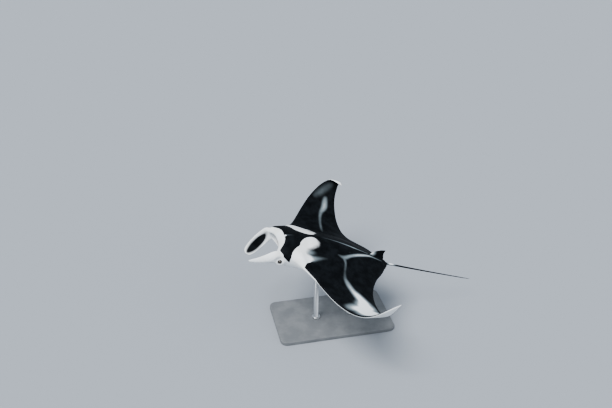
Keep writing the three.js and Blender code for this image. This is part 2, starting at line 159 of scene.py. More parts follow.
def distance_to(line: Array, x: Array, y: Array) -> Array:
    """Distance from flat points to a polyline.

    Args:
        line: The polyline's corners, as rows of x and y.
        x: Flat x of the points.
        y: Flat y of the points.

    Returns:
        The least distance of each point.
    """
    least = np.full(x.shape, np.inf)
    for (ax, ay), (bx, by) in zip(line[:-1], line[1:]):
        run_x, run_y = bx - ax, by - ay
        along = np.clip(((x - ax) * run_x + (y - ay) * run_y) / (run_x**2 + run_y**2), 0, 1)
        least = np.minimum(least, np.hypot(ax + run_x * along - x, ay + run_y * along - y))
    return least


def depth_inside(outline: Array, x: Array, y: Array) -> Array:
    """Signed distance to a closed outline, positive inside it.

    Args:
        outline: The outline's corners, as rows of x and y, the first one not repeated.
        x: Flat x of the points.
        y: Flat y of the points.

    Returns:
        The signed distance of each point.
    """
    closed = np.vstack([outline, outline[:1]])
    inside = np.zeros(x.shape, bool)
    for (ax, ay), (bx, by) in zip(closed[:-1], closed[1:]):
        if ay == by:
            continue
        crosses = (ay > y) != (by > y)
        inside ^= crosses & (x < (bx - ax) * (y - ay) / (by - ay) + ax)
    return np.where(inside, 1, -1) * distance_to(closed, x, y)


# ---- meshes in the making ------------------------------------------------------------------------
def place(verts: Iterable[BMVert], spots: Array) -> None:
    """Moves vertices to new places, given in the same order."""
    for vert, spot in zip(verts, spots):
        vert.co = spot


def lift(verts: Sequence[BMVert], amounts: Array) -> None:
    """Moves vertices along their normals."""
    moves = [vert.normal * float(amount) for vert, amount in zip(verts, amounts)]
    for vert, move in zip(verts, moves):
        vert.co += move


def relax(bm: BMesh, verts: Sequence[BMVert]) -> None:
    """Moves vertices half way to the middle of their neighbours."""
    bmesh.ops.smooth_vert(
        bm, verts=verts, factor=0.5, use_axis_x=True, use_axis_y=True, use_axis_z=True
    )


def ball(radius: float, around: int, up: int, centre: Vector = Vector()) -> BMesh:
    """Ball with its poles on z, of this many faces around and from pole to pole."""
    bm = bmesh.new()
    bmesh.ops.create_uvsphere(
        bm, u_segments=around, v_segments=up, radius=radius, matrix=Matrix.Translation(centre)
    )
    return bm


def turned(profile: Rows, axis: Triple, centre: Sequence[float], steps: int) -> BMesh:
    """Turns a profile that starts and ends on its axis.

    Args:
        profile: The profile's points.
        axis: Direction of the axis.
        centre: A point on the axis.
        steps: Faces around.

    Returns:
        A closed mesh.
    """
    bm = bmesh.new()
    verts = [bm.verts.new(spot) for spot in profile]
    line = [bm.edges.new(pair) for pair in zip(verts, verts[1:])]
    bmesh.ops.spin(
        bm, geom=[*verts, *line], axis=axis, cent=centre, dvec=(0, 0, 0), angle=math.tau,
        steps=steps, use_merge=True, use_duplicate=False,
    )
    bmesh.ops.remove_doubles(bm, verts=bm.verts, dist=TINY)
    bmesh.ops.recalc_face_normals(bm, faces=bm.faces)
    return bm


def pillow(
    columns: int, rows: tuple[int, int], sheet: Callable[[Array, Array, int], Array]
) -> BMesh:
    """Two sheets over one square, meeting at its border.

    Args:
        columns: Faces along u.
        rows: Faces along v on the upper and on the lower sheet.
        sheet: Gives the points of a sheet from u, v and the sheet's face, 1 or -1.

    Returns:
        A closed mesh.
    """
    bm = bmesh.new()
    for face, count in zip((1, -1), rows):
        made = bmesh.ops.create_grid(bm, x_segments=columns, y_segments=count, size=0.5)
        u, v = np.round(np.array([vert.co[:2] for vert in made["verts"]]) + 0.5, 6).T
        place(made["verts"], sheet(u, v, face))
    rim = [vert for vert in bm.verts if vert.is_boundary]
    bmesh.ops.remove_doubles(bm, verts=rim, dist=TINY)
    bmesh.ops.recalc_face_normals(bm, faces=bm.faces)
    return bm


def tree_of(spots: Sequence[Sequence[float]]) -> KDTree:
    """Search tree of points, numbered in their order."""
    tree = KDTree(len(spots))
    for i, spot in enumerate(spots):
        tree.insert(spot, i)
    tree.balance()
    return tree


@contextmanager
def edited(obj: Object) -> Iterator[BMesh]:
    """Opens an object's mesh for changes, and writes them back."""
    bm = bmesh.new()
    bm.from_mesh(obj.data)
    yield bm
    bm.to_mesh(obj.data)
    bm.free()


def carry(obj: Object, name: str, values: Array) -> None:
    """Keeps a number or a vector for each vertex on an object's mesh."""
    kind, key = ("FLOAT", "value") if values.ndim == 1 else ("FLOAT_VECTOR", "vector")
    layer = obj.data.attributes.new(name, kind, "POINT")
    layer.data.foreach_set(key, values.astype(np.float32).ravel())


# ---- the flat ray --------------------------------------------------------------------------------
@dataclass(frozen=True)
class FlatRay:
    """Outline and thickness of the flat body and wings."""

    front_rows: Rows = (
        (0.019, 0), (0.017, 0.03), (0.011, 0.06), (0.003, 0.08), (0.005, 0.091), (0.02, 0.1),
        (0.042, 0.104), (0.06, 0.11), (0.074, 0.126), (0.104, 0.17), (0.136, 0.22), (0.167, 0.28),
        (0.198, 0.34), (0.233, 0.4), (0.272, 0.45), (0.309, 0.48), (0.342, 0.495), (0.368, 0.5),
    )
    rear_rows: Rows = (
        (0.484, 0), (0.482, 0.012), (0.476, 0.022), (0.468, 0.034), (0.458, 0.05), (0.445, 0.072),
        (0.43, 0.094), (0.415, 0.113), (0.402, 0.13), (0.38, 0.17), (0.362, 0.22), (0.352, 0.28),
        (0.347, 0.34), (0.345, 0.4), (0.351, 0.45), (0.359, 0.48), (0.366, 0.495), (0.368, 0.5),
    )
    back_rows: Rows = (
        (0, 0.016), (0.03, 0.026), (0.06, 0.035), (0.1, 0.044), (0.16, 0.05), (0.22, 0.049),
        (0.3, 0.041), (0.38, 0.024), (0.44, 0.011), (0.484, 0.004),
    )
    belly_rows: Rows = (
        (0, 0.046), (0.03, 0.05), (0.06, 0.051), (0.12, 0.051), (0.2, 0.052), (0.3, 0.046),
        (0.38, 0.031), (0.44, 0.017), (0.484, 0.01),
    )
    hump_rows: Rows = (
        (0, 0.3), (0.06, 0.26), (0.12, 0.17), (0.2, 0.175), (0.3, 0.16), (0.4, 0.1), (0.484, 0.05),
    )
    wing_rows: Rows = ((0, 0.0085), (0.20, 0.0080), (0.35, 0.0055), (0.45, 0.0035), (0.5, 0.0020))
    nose_rows: Rows = (
        (0, 0.03), (0.1, 0.03), (0.15, 0.018), (0.25, 0.013), (0.4, 0.009), (0.5, 0.006),
    )
    trail_rows: Rows = (
        (0, 0.016), (0.06, 0.03), (0.13, 0.06), (0.3, 0.08), (0.42, 0.05), (0.5, 0.015),
    )
    arch_height: float = 0.008
    arch_half_width: float = 0.085
    arch_length: float = 0.12
    jaw_slope: float = 0.6
    jaw_from: float = 0.02
    jaw_to: float = 0.20
    crowding: float = 0.08
    fan_reach: float = 0.012
    fan_depth: float = 0.06
    fan_window: float = 0.05
    fan_from: float = 0.11
    fan_to: float = 0.18
    samples: int = 240
    curves: dict[str, Curve] = field(default_factory=dict)

    def __post_init__(self) -> None:
        """Makes the curves from their rows."""
        self.curves["front"] = EdgeCurve(self.front_rows)
        self.curves["rear"] = EdgeCurve(self.rear_rows)
        for name in ("back", "belly", "hump", "wing", "nose", "trail"):
            self.curves[name] = Curve(getattr(self, f"{name}_rows"))

    def edge_line(self, name: str) -> Array:
        """Closely spaced points of the front or the rear edge of the right half."""
        return self.curves[name](np.linspace(0, 1, self.samples + 1))

    def to_edge(self, name: str, x: Array, y: Array) -> Array:
        """Distance from flat points to the front or the rear edge of their own half."""
        return distance_to(self.edge_line(name), x, np.abs(y))

    def front_x(self, y: Array) -> Array:
        """Flat x of the front edge beside the mouth, by y."""
        line = self.edge_line("front")
        return np.interp(np.abs(y), line[:, 1], line[:, 0])

    def arch(self, x: Array, y: Array) -> Array:
        """How far the upper lip lifts both sheets."""
        rise = np.maximum(0, 1 - (y / self.arch_half_width) ** 2)
        return self.arch_height * rise * (1 - smooth(x - self.front_x(y), 0, self.arch_length))

    def sheet(self, u: Array, v: Array, face: int) -> Array:
        """Points of the upper or the lower sheet.

        Args:
            u: Share across, from the left tip to the right tip.
            v: Share from the front edge to the rear.
            face: 1 for the upper sheet and -1 for the lower.

        Returns:
            Rows of flat x, y and z.
        """
        across = 2 * u - 1
        out = np.abs(across)
        share = out - self.crowding * np.sin(2 * np.pi * out)
        front = self.curves["front"](share)
        rear = self.curves["rear"](share)
        back = cosine_share(v)
        ahead = self.curves["front"](np.minimum(share + self.fan_window, 1))
        along = ahead - self.curves["front"](np.maximum(share - self.fan_window, 0))
        along /= np.linalg.norm(along, axis=-1, keepdims=True)
        inward = self.fan_reach * back * np.exp(1 - back / self.fan_depth) / self.fan_depth
        inward *= 1 - smooth(front[:, 1], self.fan_from, self.fan_to)
        inward *= smooth(front[:, 1], 0, self.fan_window)
        x = front[:, 0] + (rear[:, 0] - front[:, 0]) * back + along[:, 1] * inward
        y = front[:, 1] + (rear[:, 1] - front[:, 1]) * back - along[:, 0] * inward
        hump = np.cos(np.pi / 2 * np.minimum(y / self.curves["hump"](x), 1)) ** 2
        body = self.curves["back" if face > 0 else "belly"](x)
        half = body * hump + self.curves["wing"](y)
        edges = round_edge(self.to_edge("front", x, y), self.curves["nose"](y))
        edges *= round_edge(self.to_edge("rear", x, y), self.curves["trail"](y))
        rim = np.minimum(np.minimum(v, 1 - v), 1 - out) < TINY
        z = self.arch(x, y) + face * half * np.where(rim, 0, edges)
        set_back = self.jaw_slope * np.maximum(0, -z)
        x = x + set_back * (1 - smooth(x, self.jaw_from, self.jaw_to))
        return np.column_stack([x, np.where(across < 0, -y, y), z])


@dataclass(frozen=True)
class Mouth:
    """Mouth cavity: a flattened ball with squared-off sides, open through the front."""

    centre: Triple = (0.030, 0.0, -0.014)
    reach: Triple = (0.080, 0.075, 0.025)
    corner: float = 0.55
    around: int = 136
    up: int = 72

    def build(self) -> BMesh:
        """Closed mesh of the cavity."""
        bm = ball(1, self.around, self.up)
        for vert in bm.verts:
            x, y, z = vert.co
            side = math.copysign(abs(y) ** self.corner, y)
            vert.co = [c + r * s for c, r, s in zip(self.centre, self.reach, (x, side, z))]
        bmesh.ops.recalc_face_normals(bm, faces=bm.faces)
        return bm


@dataclass(frozen=True)
class Lobe:
    """Cephalic lobe: a spoon-shaped paddle hung between two edges."""

    side: int
    upper: Rows
    lower: Rows
    half_rows: Rows = ((0, 0.012), (0.25, 0.010), (0.6, 0.006), (1, 0.0035))
    bulge: float = 0.009
    root_round: float = 0.12
    tip_round: float = 0.10
    slope_step: float = 0.02
    columns: int = 72
    rows: int = 40

    def middle(self, u: Array, v: Array) -> tuple[Array, Array]:
        """Middle surface of the paddle.

        Args:
            u: Share from the root to the tip.
            v: Share from the upper edge to the lower.

        Returns:
            Its points, and its unit directions away from the mouth.
        """
        top, bottom = EdgeCurve(self.upper), EdgeCurve(self.lower)
        along, down = cosine_share(u), cosine_share(v)
        a, b = top(along), bottom(along)
        ahead = top(np.minimum(along + self.slope_step, 1))
        ahead -= top(np.maximum(along - self.slope_step, 0))
        outward = np.cross(ahead, b - a) * -self.side
        outward /= np.maximum(np.linalg.norm(outward, axis=-1, keepdims=True), TINY**2)
        pinched = np.linalg.norm(b - a, axis=-1) < TINY
        outward[pinched] = (0, self.side, 0)
        bulge = self.bulge * 4 * down * (1 - down) * np.sin(np.pi * along)
        return a + (b - a) * down[:, None] + outward * bulge[:, None], outward

    def sheet(self, u: Array, v: Array, face: int) -> Array:
        """Points of the outer (1) or the inner (-1) face."""
        along = cosine_share(u)
        middle, outward = self.middle(u, v)
        ends = round_edge(along, self.root_round) * round_edge(1 - along, self.tip_round)
        half = Curve(self.half_rows)(along) * ends * ellipse(cosine_share(v))
        return middle + outward * (face * self.side * half)[:, None]

    def build(self) -> BMesh:
        """Closed mesh of the paddle."""
        return pillow(self.columns, (self.rows, self.rows), self.sheet)


RIGHT_LOBE = Lobe(
    side=1,
    upper=(
        (0.04, 0.088, 0), (-0.001, 0.092, 0.008), (-0.024, 0.092, -0.016), (-0.046, 0.082, -0.045),
        (-0.063, 0.067, -0.07), (-0.069, 0.055, -0.084), (-0.064, 0.044, -0.094),
    ),
    lower=(
        (0.06, 0.08, -0.028), (0.027, 0.082, -0.035), (0.01, 0.073, -0.05), (-0.008, 0.061, -0.067),
        (-0.03, 0.047, -0.086), (-0.048, 0.041, -0.096), (-0.064, 0.044, -0.094),
    ),
)
LEFT_LOBE = Lobe(
    side=-1,
    upper=(
        (0.04, -0.088, 0.002), (0.004, -0.09, 0.014), (-0.015, -0.092, 0.007),
        (-0.034, -0.09, -0.01), (-0.058, -0.084, -0.032), (-0.074, -0.072, -0.05),
        (-0.08, -0.062, -0.062),
    ),
    lower=(
        (0.06, -0.084, -0.028), (0.026, -0.09, -0.037), (0.008, -0.086, -0.038),
        (-0.015, -0.079, -0.044), (-0.04, -0.071, -0.053), (-0.064, -0.062, -0.062),
        (-0.08, -0.062, -0.062),
    ),
)


@dataclass(frozen=True)
class Fin:
    """Thin fin between two edges. `lift` puts its plane's points and side offsets in space."""

    front: Rows
    rear: Rows
    half: float
    lift: Callable[[Array, Array, Array], Sequence[Array]]
    root_round: float = 0.05
    tip_round: float = 0.3
    columns: int = 28
    rows: int = 22

    def sheet(self, u: Array, v: Array, face: int) -> Array:
        """Points of one face of the fin."""
        across = cosine_share(v)[:, None]
        a, b = EdgeCurve(self.front)(u), EdgeCurve(self.rear)(u)
        plane = a + (b - a) * across
        ends = round_edge(u, self.root_round) * round_edge(1 - u, self.tip_round)
        offset = face * self.half * ends * ellipse(across[:, 0])
        return np.column_stack(self.lift(plane[:, 0], plane[:, 1], offset))

    def build(self) -> BMesh:
        """Closed mesh of the fin."""
        return pillow(self.columns, (self.rows, self.rows), self.sheet)


def pelvic_fin(side: int, level: float = -0.005) -> Fin:
    """One of the two pelvic fins, behind the belly.

    Args:
        side: 1 for right and -1 for left.
        level: Flat z of its plane.

    Returns:
        The fin.
    """
    return Fin(
        front=((0.416, 0.004), (0.450, 0.008), (0.470, 0.013), (0.478, 0.022)),
        rear=((0.406, 0.042), (0.438, 0.043), (0.465, 0.034), (0.478, 0.022)),
        half=0.0030,
        lift=lambda x, y, off: (x, side * y, level + off * side),
    )


DORSAL_FIN = Fin(
    front=((0.388, 0.018), (0.412, 0.043), (0.436, 0.055), (0.457, 0.059)),
    rear=((0.466, 0.000), (0.460, 0.026), (0.4545, 0.043), (0.457, 0.059)),
    half=0.0028,
    lift=lambda x, z, off: (x, off, z),
)


@dataclass(frozen=True)
class Tail:
    """Whip tail, turned about its own line and lifted towards its end."""

    radius_rows: Rows = (
        (0.452, 0), (0.456, 0.0052), (0.484, 0.0046), (0.505, 0.0038), (0.56, 0.0031),
        (0.65, 0.0025), (0.75, 0.0019), (0.85, 0.0011), (0.87, 0),
    )
    root_lift: float = 0.004
    lift_from: float = 0.484
    lift_height: float = 0.006
    rings: int = 72
    sides: int = 24

    def build(self) -> BMesh:
        """Closed mesh of the tail."""
        start, end = self.radius_rows[0][0], self.radius_rows[-1][0]
        along = start + (end - start) * cosine_share(np.linspace(0, 1, self.rings))
        radius = np.maximum(0, Curve(self.radius_rows)(along))
        profile = np.column_stack([along, np.zeros(self.rings), radius])
        bm = turned(profile, (1, 0, 0), (0, 0, 0), self.sides)
        for vert in bm.verts:
            share = max(0.0, (vert.co.x - self.lift_from) / (end - self.lift_from))
            vert.co.z += self.root_lift + self.lift_height * share**2
        return bm


# ---- the swimming pose ---------------------------------------------------------------------------
@dataclass(frozen=True)
class WingBend:
    """How a wing's span is bent: its angle above the flat plane, by distance out."""

    side: int
    sweep: float
    rise_rows: Rows
    sweep_reach: float = 0.30
    reach: float = 0.6
    steps: int = 600

    def bend(self, flat: Array) -> Array:
        """Bends flat points of this side.

        Args:
            flat: Rows of flat x, y and z.

        Returns:
            The same points, bent.
        """
        x, y, z = flat[:, 0], np.abs(flat[:, 1]), flat[:, 2]
        sweep = math.radians(self.sweep) * smooth(y, 0, self.sweep_reach)
        out = np.clip((x - PIVOT_X) * np.sin(sweep) + y * np.cos(sweep), 0, self.reach)
        marks = np.linspace(0, self.reach, self.steps + 1)
        angles = np.radians(Curve(self.rise_rows)(marks))
        middle = (angles[1:] + angles[:-1]) / 2
        inward = np.concatenate([[0], np.cumsum(np.cos(middle) - 1) * marks[1]])
        up = np.concatenate([[0], np.cumsum(np.sin(middle)) * marks[1]])
        angle = np.interp(out, marks, angles)
        shift = np.interp(out, marks, inward) - np.sin(angle) * z
        return np.column_stack(
            [
                x + np.sin(sweep) * shift,
                self.side * (y + np.cos(sweep) * shift),
                np.interp(out, marks, up) + np.cos(angle) * z,
            ]
        )


RIGHT_BEND = WingBend(
    side=1,
    sweep=7.3,
    rise_rows=(
        (0, 0), (0.08, 0), (0.15, -10.6), (0.22, 1), (0.3, 19), (0.38, 42), (0.44, 61), (0.47, 72),
        (0.481, 108), (0.492, 165), (0.505, 210),
    ),
)
LEFT_BEND = WingBend(
    side=-1,
    sweep=18.1,
    rise_rows=(
        (0, 0), (0.08, 0), (0.15, -9.3), (0.22, -7.6), (0.3, 3.3), (0.38, 21.7), (0.46, 60),
        (0.56, 100),
    ),
)


def swim(flat: Array) -> Array:
    """Bends, pitches, scales and lifts flat points on to the stand.

    Args:
        flat: Rows of flat x, y and z.

    Returns:
        Rows of x, y and z in metres, in the frame's own axes.
    """
    right = flat[:, 1:2] >= 0
    bent = np.where(right, RIGHT_BEND.bend(flat), LEFT_BEND.bend(flat))
    x, y, z = bent[:, 0] - PIVOT_X, bent[:, 1], bent[:, 2]
    cos, sin = math.cos(math.radians(PITCH)), math.sin(math.radians(PITCH))
    return np.column_stack([x * cos + z * sin, y, -x * sin + z * cos]) * SPAN + (0, 0, RIDE_HEIGHT)


# ---- the skin ------------------------------------------------------------------------------------
class Part(Enum):
    """Parts that the skin is joined from. The value is kept on every face."""

    DISC = 0
    MOUTH = 1
    RIGHT_LOBE = 2
    LEFT_LOBE = 3
    DORSAL_FIN = 4
    RIGHT_PELVIC = 5
    LEFT_PELVIC = 6
    TAIL = 7
    RIGHT_SOCKET = 8
    LEFT_SOCKET = 9


PART_LAYER = "part"


def to_object(bm: BMesh, name: str, part: Part | None = None) -> Object:
    """Makes an object of a mesh in the making, and frees it.

    Args:
        bm: The mesh in the making.
        name: The object's name.
        part: Written on every face, where the mesh is a part of the skin.

    Returns:
        The new object, linked to the scene.
    """
    if part is not None:
        layer = bm.faces.layers.int.new(PART_LAYER)
        for face in bm.faces:
            face[layer] = part.value
    mesh = bpy.data.meshes.new(name)
    bm.to_mesh(mesh)
    bm.free()
    obj = bpy.data.objects.new(name, mesh)
    bpy.context.scene.collection.objects.link(obj)
    return obj


def combine(base: Object, other: Object, operation: str) -> None:
    """Joins or cuts one closed mesh with another, which is then removed.

    Args:
        base: The object that keeps the result.
        other: The object that is used up.
        operation: UNION or DIFFERENCE.
    """
    modifier = base.modifiers.new("combine", "BOOLEAN")
    modifier.operation = operation
    modifier.solver = "MANIFOLD"
    modifier.object = other
    depsgraph = bpy.context.evaluated_depsgraph_get()
    result = bpy.data.meshes.new_from_object(base.evaluated_get(depsgraph))
    base.modifiers.clear()
    old = base.data
    base.data = result
    bpy.data.meshes.remove(old)
    bpy.data.meshes.remove(other.data)


@dataclass(frozen=True)
class EyeSpot:
    """Where an eye sits in the flat ray, and its size."""

    radius: float = 0.029 / SPAN
    at: Triple = (0.021, 0.098, -0.022)
    facing: Triple = (-0.16, 0.98, 0.10)
    gap: float = 0.0006 / SPAN
    segments: int = 48
    rings: int = 32

    def centre(self, side: int) -> Vector:
        """Flat centre of the right or the left eye."""
        x, y, z = self.at
        return Vector((x, side * y, z))

    def gaze(self, side: int) -> Vector:
        """Flat direction that the right or the left eye looks in."""
        x, y, z = self.facing
        return Vector((x, side * y, z)).normalized()

    def socket(self, side: int) -> BMesh:
        """Ball that is cut from the skin to seat an eye."""
        return ball(self.radius + self.gap, self.segments, self.rings, self.centre(side))


EYE_SPOT = EyeSpot()


@dataclass(frozen=True)
class Slit:
    """One gill slit on the belly: where it is, how long, and how it curves."""

    x: float
    y: float
    half: float
    tilt: float
    bow: float = 4.5
    width: float = 0.0016
    depth: float = 0.0036
    flap: float = 0.0016
    flap_width: float = 0.0042
    shadow_back: float = 0.0004
    shadow_width: float = 0.9

    def across(self, x: Array, y: Array) -> tuple[Array, Array]:
        """Distances from flat points to the slit.

        Args:
            x: Flat x of the points.
            y: Flat distance of the points from the midline.

        Returns:
            Distance behind the slit's line, and share of its half length along it.
        """
        cos, sin = math.cos(math.radians(self.tilt)), math.sin(math.radians(self.tilt))
        run = (y - self.y) * cos + (x - self.x) * sin
        behind = (x - self.x) * cos - (y - self.y) * sin
        return behind - self.bow * run**2, run / self.half

    def fade(self, along: Array) -> Array:
        """How the slit thins out to its ends, by share of its half length."""
        return np.sqrt(np.clip(1 - along**2, 0, 1))

    def press(self, x: Array, y: Array) -> Array:
        """How far the skin stands out along its normal: a flap, and the groove behind it."""
        behind, along = self.across(x, y)
        flap = self.flap * np.exp(-(((behind + self.flap_width) / self.flap_width) ** 2))
        return self.fade(along) * (flap - self.depth * np.exp(-((behind / self.width) ** 2)))

    def darkness(self, x: Array, y: Array) -> Array:
        """How dark the groove is painted, from 0 to 1: painted shadow in the groove."""
        behind, along = self.across(x, y)
        shadow = (behind - self.shadow_back) / (self.shadow_width * self.width)
        return self.fade(along) * np.exp(-(shadow**2))


SLITS = tuple(
    Slit(x=0.118 + 0.0235 * i, y=0.063 - 0.0055 * i, half=0.036 - 0.003 * i, tilt=-14 + 3 * i)
    for i in range(5)
)
GILL_LENGTH = (0.095, 0.235)
GILL_WIDTH = (0.012, 0.108)
SLIT_BAND = (-0.007, 0.004)
SLIT_END = 1.05


def in_gills(spot: Vector) -> bool:
    """Whether a flat point lies in the part of the belly that carries the gill slits."""
    ahead, behind = GILL_LENGTH
    inner, outer = GILL_WIDTH
    return spot.z < 0 and ahead < spot.x < behind and inner < abs(spot.y) < outer


def at_slit(spot: Vector) -> bool:
    """Whether a flat point lies close to one of the gill slits."""
    if spot.z >= 0:
        return False
    found = [slit.across(spot.x, abs(spot.y)) for slit in SLITS]
    low, high = SLIT_BAND
    return any(low < behind < high and abs(along) < SLIT_END for behind, along in found)


@dataclass(frozen=True)
class Arches:
    """Gill arches across the sides of the mouth, with a pale roof over them."""

    lean: float = 0.35
    start: float = 0.062
    step: float = 0.0155
    side: Pair = (0.010, 0.030)
    end: Pair = (0.092, 0.104)
    roof_side: Pair = (0.014, 0.034)
    roof_end: Pair = (0.060, 0.100)
    height: float = 0.0024
    lip: Pair = (0.012, 0.030)

    def ridge(self, x: Array, y: Array) -> Array:
        """How far up an arch flat points in the mouth lie, from 0 to 1."""
        out = np.abs(y)
        ridge = np.sin(np.pi * (x + self.lean * out - self.start) / self.step) ** 2
        return ridge * smooth(out, *self.side) * (1 - smooth(x, *self.end))


ARCHES = Arches()


@dataclass(frozen=True)
class Blend:
    """How the seam around some parts is rounded: how far it reaches and over how many rounds."""

    parts: tuple[Part, ...]
    reach: float
    rounds: int


BLENDS = (
    Blend((Part.RIGHT_LOBE, Part.LEFT_LOBE), 0.014, 26),
    Blend((Part.MOUTH,), 0.0070, 16),
    Blend((Part.DORSAL_FIN,), 0.007, 14),
    Blend((Part.TAIL,), 0.006, 12),
    Blend((Part.RIGHT_PELVIC, Part.LEFT_PELVIC), 0.006, 12),
)


@dataclass
class Skin:
    """The ray's one skin, joined and detailed flat, then bent into the swimming pose."""

    ray: FlatRay = field(default_factory=FlatRay)
    columns: int = 220
    rows: tuple[int, int] = (100, 140)
    forward: float = 1.2
    sliver: float = 0.0005
    weld_reach: float = 0.0020
    even_rounds: int = 2
    crest_height: float = 0.0012
    crest_width: float = 0.008
    crest_from: Pair = (0.12, 0.20)
    crest_to: Pair = (0.37, 0.41)
    orbit_level: float = 0.56
    orbit_out: Pair = (1.15, 3.0)
    orbit_from: Pair = (-1.9, -0.8)
    orbit_facing: Pair = (-0.25, 0.15)
    fine_around_eyes: Pair = (0.026, 0.015)
    lid_height: float = 0.0010
    lid_width: float = 0.0022
    lid_reach: float = 0.0066

    def disc_sheet(self, u: Array, v: Array, face: int) -> Array:
        """Sheet of the disc, with the lower one's rows crowded forward for the gills."""
        return self.ray.sheet(u, v if face > 0 else v**self.forward, face)

    def join_parts(self) -> Object:
        """Joins the body, mouth, lobes, fins and tail into one closed mesh."""
        skin = to_object(pillow(self.columns, self.rows, self.disc_sheet), "manta_skin", Part.DISC)
        combine(skin, to_object(Mouth().build(), "mouth", Part.MOUTH), "DIFFERENCE")
        additions = (
            (RIGHT_LOBE, Part.RIGHT_LOBE),
            (LEFT_LOBE, Part.LEFT_LOBE),
            (DORSAL_FIN, Part.DORSAL_FIN),
            (pelvic_fin(1), Part.RIGHT_PELVIC),
            (pelvic_fin(-1), Part.LEFT_PELVIC),
            (Tail(), Part.TAIL),
        )
        for piece, part in additions:
            combine(skin, to_object(piece.build(), part.name.lower(), part), "UNION")
        return skin

    def cut_sockets(self, skin: Object) -> None:
        """Cuts a seat for each eyeball."""
        for part, side in ((Part.RIGHT_SOCKET, 1), (Part.LEFT_SOCKET, -1)):
            combine(skin, to_object(EYE_SPOT.socket(side), "socket", part), "DIFFERENCE")

    def seam(self, bm: BMesh, parts: Iterable[Part]) -> list[BMVert]:
        """Vertices where any of these parts meets another part."""
        layer = bm.faces.layers.int[PART_LAYER]
        wanted = {part.value for part in parts}
        found = set()
        for edge in bm.edges:
            kinds = {face[layer] for face in edge.link_faces}
            if len(kinds) > 1 and kinds & wanted:
                found.update(edge.verts)
        return list(found)

    def near(
        self, bm: BMesh, marks: Sequence[BMVert], reach: float
    ) -> list[tuple[BMVert, float]]:
        """Vertices within reach of any of the marks, with their distances."""
        tree = tree_of([vert.co for vert in marks])
        pairs = ((vert, tree.find(vert.co)[2]) for vert in bm.verts)
        return [(vert, distance) for vert, distance in pairs if distance <= reach]

    def round_seam(self, bm: BMesh, blend: Blend) -> None:
        """Welds the slivers along a seam, and smooths it over a narrowing band."""
        close = self.near(bm, self.seam(bm, blend.parts), self.weld_reach)
        bmesh.ops.remove_doubles(bm, verts=[vert for vert, _ in close], dist=self.sliver)
        nearby = self.near(bm, self.seam(bm, blend.parts), blend.reach)
        for i in range(blend.rounds):
            limit = blend.reach * (1 - i / blend.rounds)
            relax(bm, [vert for vert, distance in nearby if distance <= limit])

    def refine(self, bm: BMesh, wanted: Callable[[Vector], bool]) -> None:
        """Halves the faces of the disc and lobes whose middles are wanted, and evens them out."""
        layer = bm.faces.layers.int[PART_LAYER]
        kinds = {Part.DISC.value, Part.RIGHT_LOBE.value, Part.LEFT_LOBE.value}
        faces = [
            face for face in bm.faces
            if face[layer] in kinds and wanted(face.calc_center_median())
        ]
        edges = list({edge for face in faces for edge in face.edges})
        made = bmesh.ops.subdivide_edges(bm, edges=edges, cuts=1, use_grid_fill=True)
        fresh = [item for item in made["geom_inner"] if isinstance(item, BMVert)]
        for _ in range(self.even_rounds):
            relax(bm, fresh)
        self.split_many_sided(bm)

    def refine_around_eyes(self, bm: BMesh, reach: float) -> None:
        """Halves the faces within reach of the eyes' centres."""
        centres = [EYE_SPOT.centre(side) for _, side in SIDES]
        self.refine(bm, lambda spot: min((spot - eye).length for eye in centres) < reach)

    def split_many_sided(self, bm: BMesh) -> None:
        """Cuts every face of more than four corners into triangles."""
        wide = [face for face in bm.faces if len(face.verts) > 4]
        bmesh.ops.triangulate(bm, faces=wide, quad_method="BEAUTY", ngon_method="BEAUTY")

    def raise_crest_and_orbits(self, bm: BMesh) -> None:
        """Lifts a low crest along the back, and a swelling around each eye."""
        bm.normal_update()
        normals = np.array([vert.normal for vert in bm.verts])
        flat = np.array([vert.co for vert in bm.verts])
        x, y, z = flat.T
        crest = self.crest_height * np.exp(-((y / self.crest_width) ** 2))
        crest *= smooth(x, *self.crest_from) * (1 - smooth(x, *self.crest_to)) * (z > 0)
        flat[:, 2] += crest
        for _, side in SIDES:
            gaze = np.array(EYE_SPOT.gaze(side))
            offset = flat - np.array(EYE_SPOT.centre(side))
            height = offset @ gaze
            away = np.linalg.norm(offset - height[:, None] * gaze, axis=1) / EYE_SPOT.radius
            share = 1 - smooth(away, *self.orbit_out)
            share *= smooth(height / EYE_SPOT.radius, *self.orbit_from)
            share *= smooth(normals @ gaze, *self.orbit_facing)
            target = self.orbit_level * EYE_SPOT.radius
            flat += (share * (target - height))[:, None] * gaze
        place(bm.verts, flat)

    def raise_lids(self, bm: BMesh) -> None:
        """Turns out a soft rim where the skin meets each eye."""
        rims = self.seam(bm, (Part.RIGHT_SOCKET, Part.LEFT_SOCKET))
        for vert, distance in self.near(bm, rims, self.lid_reach):
            side = 1 if vert.co.y > 0 else -1
            away = (vert.co - EYE_SPOT.centre(side)).normalized()
            vert.co += away * self.lid_height * math.exp(-((distance / self.lid_width) ** 2))

    def press_gills(self, bm: BMesh) -> None:
        """Presses the gill slits into the belly."""
        layer = bm.faces.layers.int[PART_LAYER]
        bm.normal_update()
        below = [
            vert for vert in bm.verts
            if vert.co.z < 0 and vert.link_faces[0][layer] == Part.DISC.value
        ]
        x, y, _ = np.array([vert.co for vert in below]).T
        lift(below, sum(slit.press(x, np.abs(y)) for slit in SLITS))

    def ridge_mouth(self, bm: BMesh) -> None:
        """Raises the gill arches that cross the walls inside the mouth."""
        layer = bm.faces.layers.int[PART_LAYER]
        bm.normal_update()
        lips = tree_of([vert.co for vert in self.seam(bm, (Part.MOUTH,))])
        inside = [
            vert for vert in bm.verts
            if all(face[layer] == Part.MOUTH.value for face in vert.link_faces)
        ]
        x, y, _ = np.array([vert.co for vert in inside]).T
        to_lip = np.array([lips.find(vert.co)[2] for vert in inside])
        lift(inside, ARCHES.height * ARCHES.ridge(x, y) * smooth(to_lip, *ARCHES.lip))

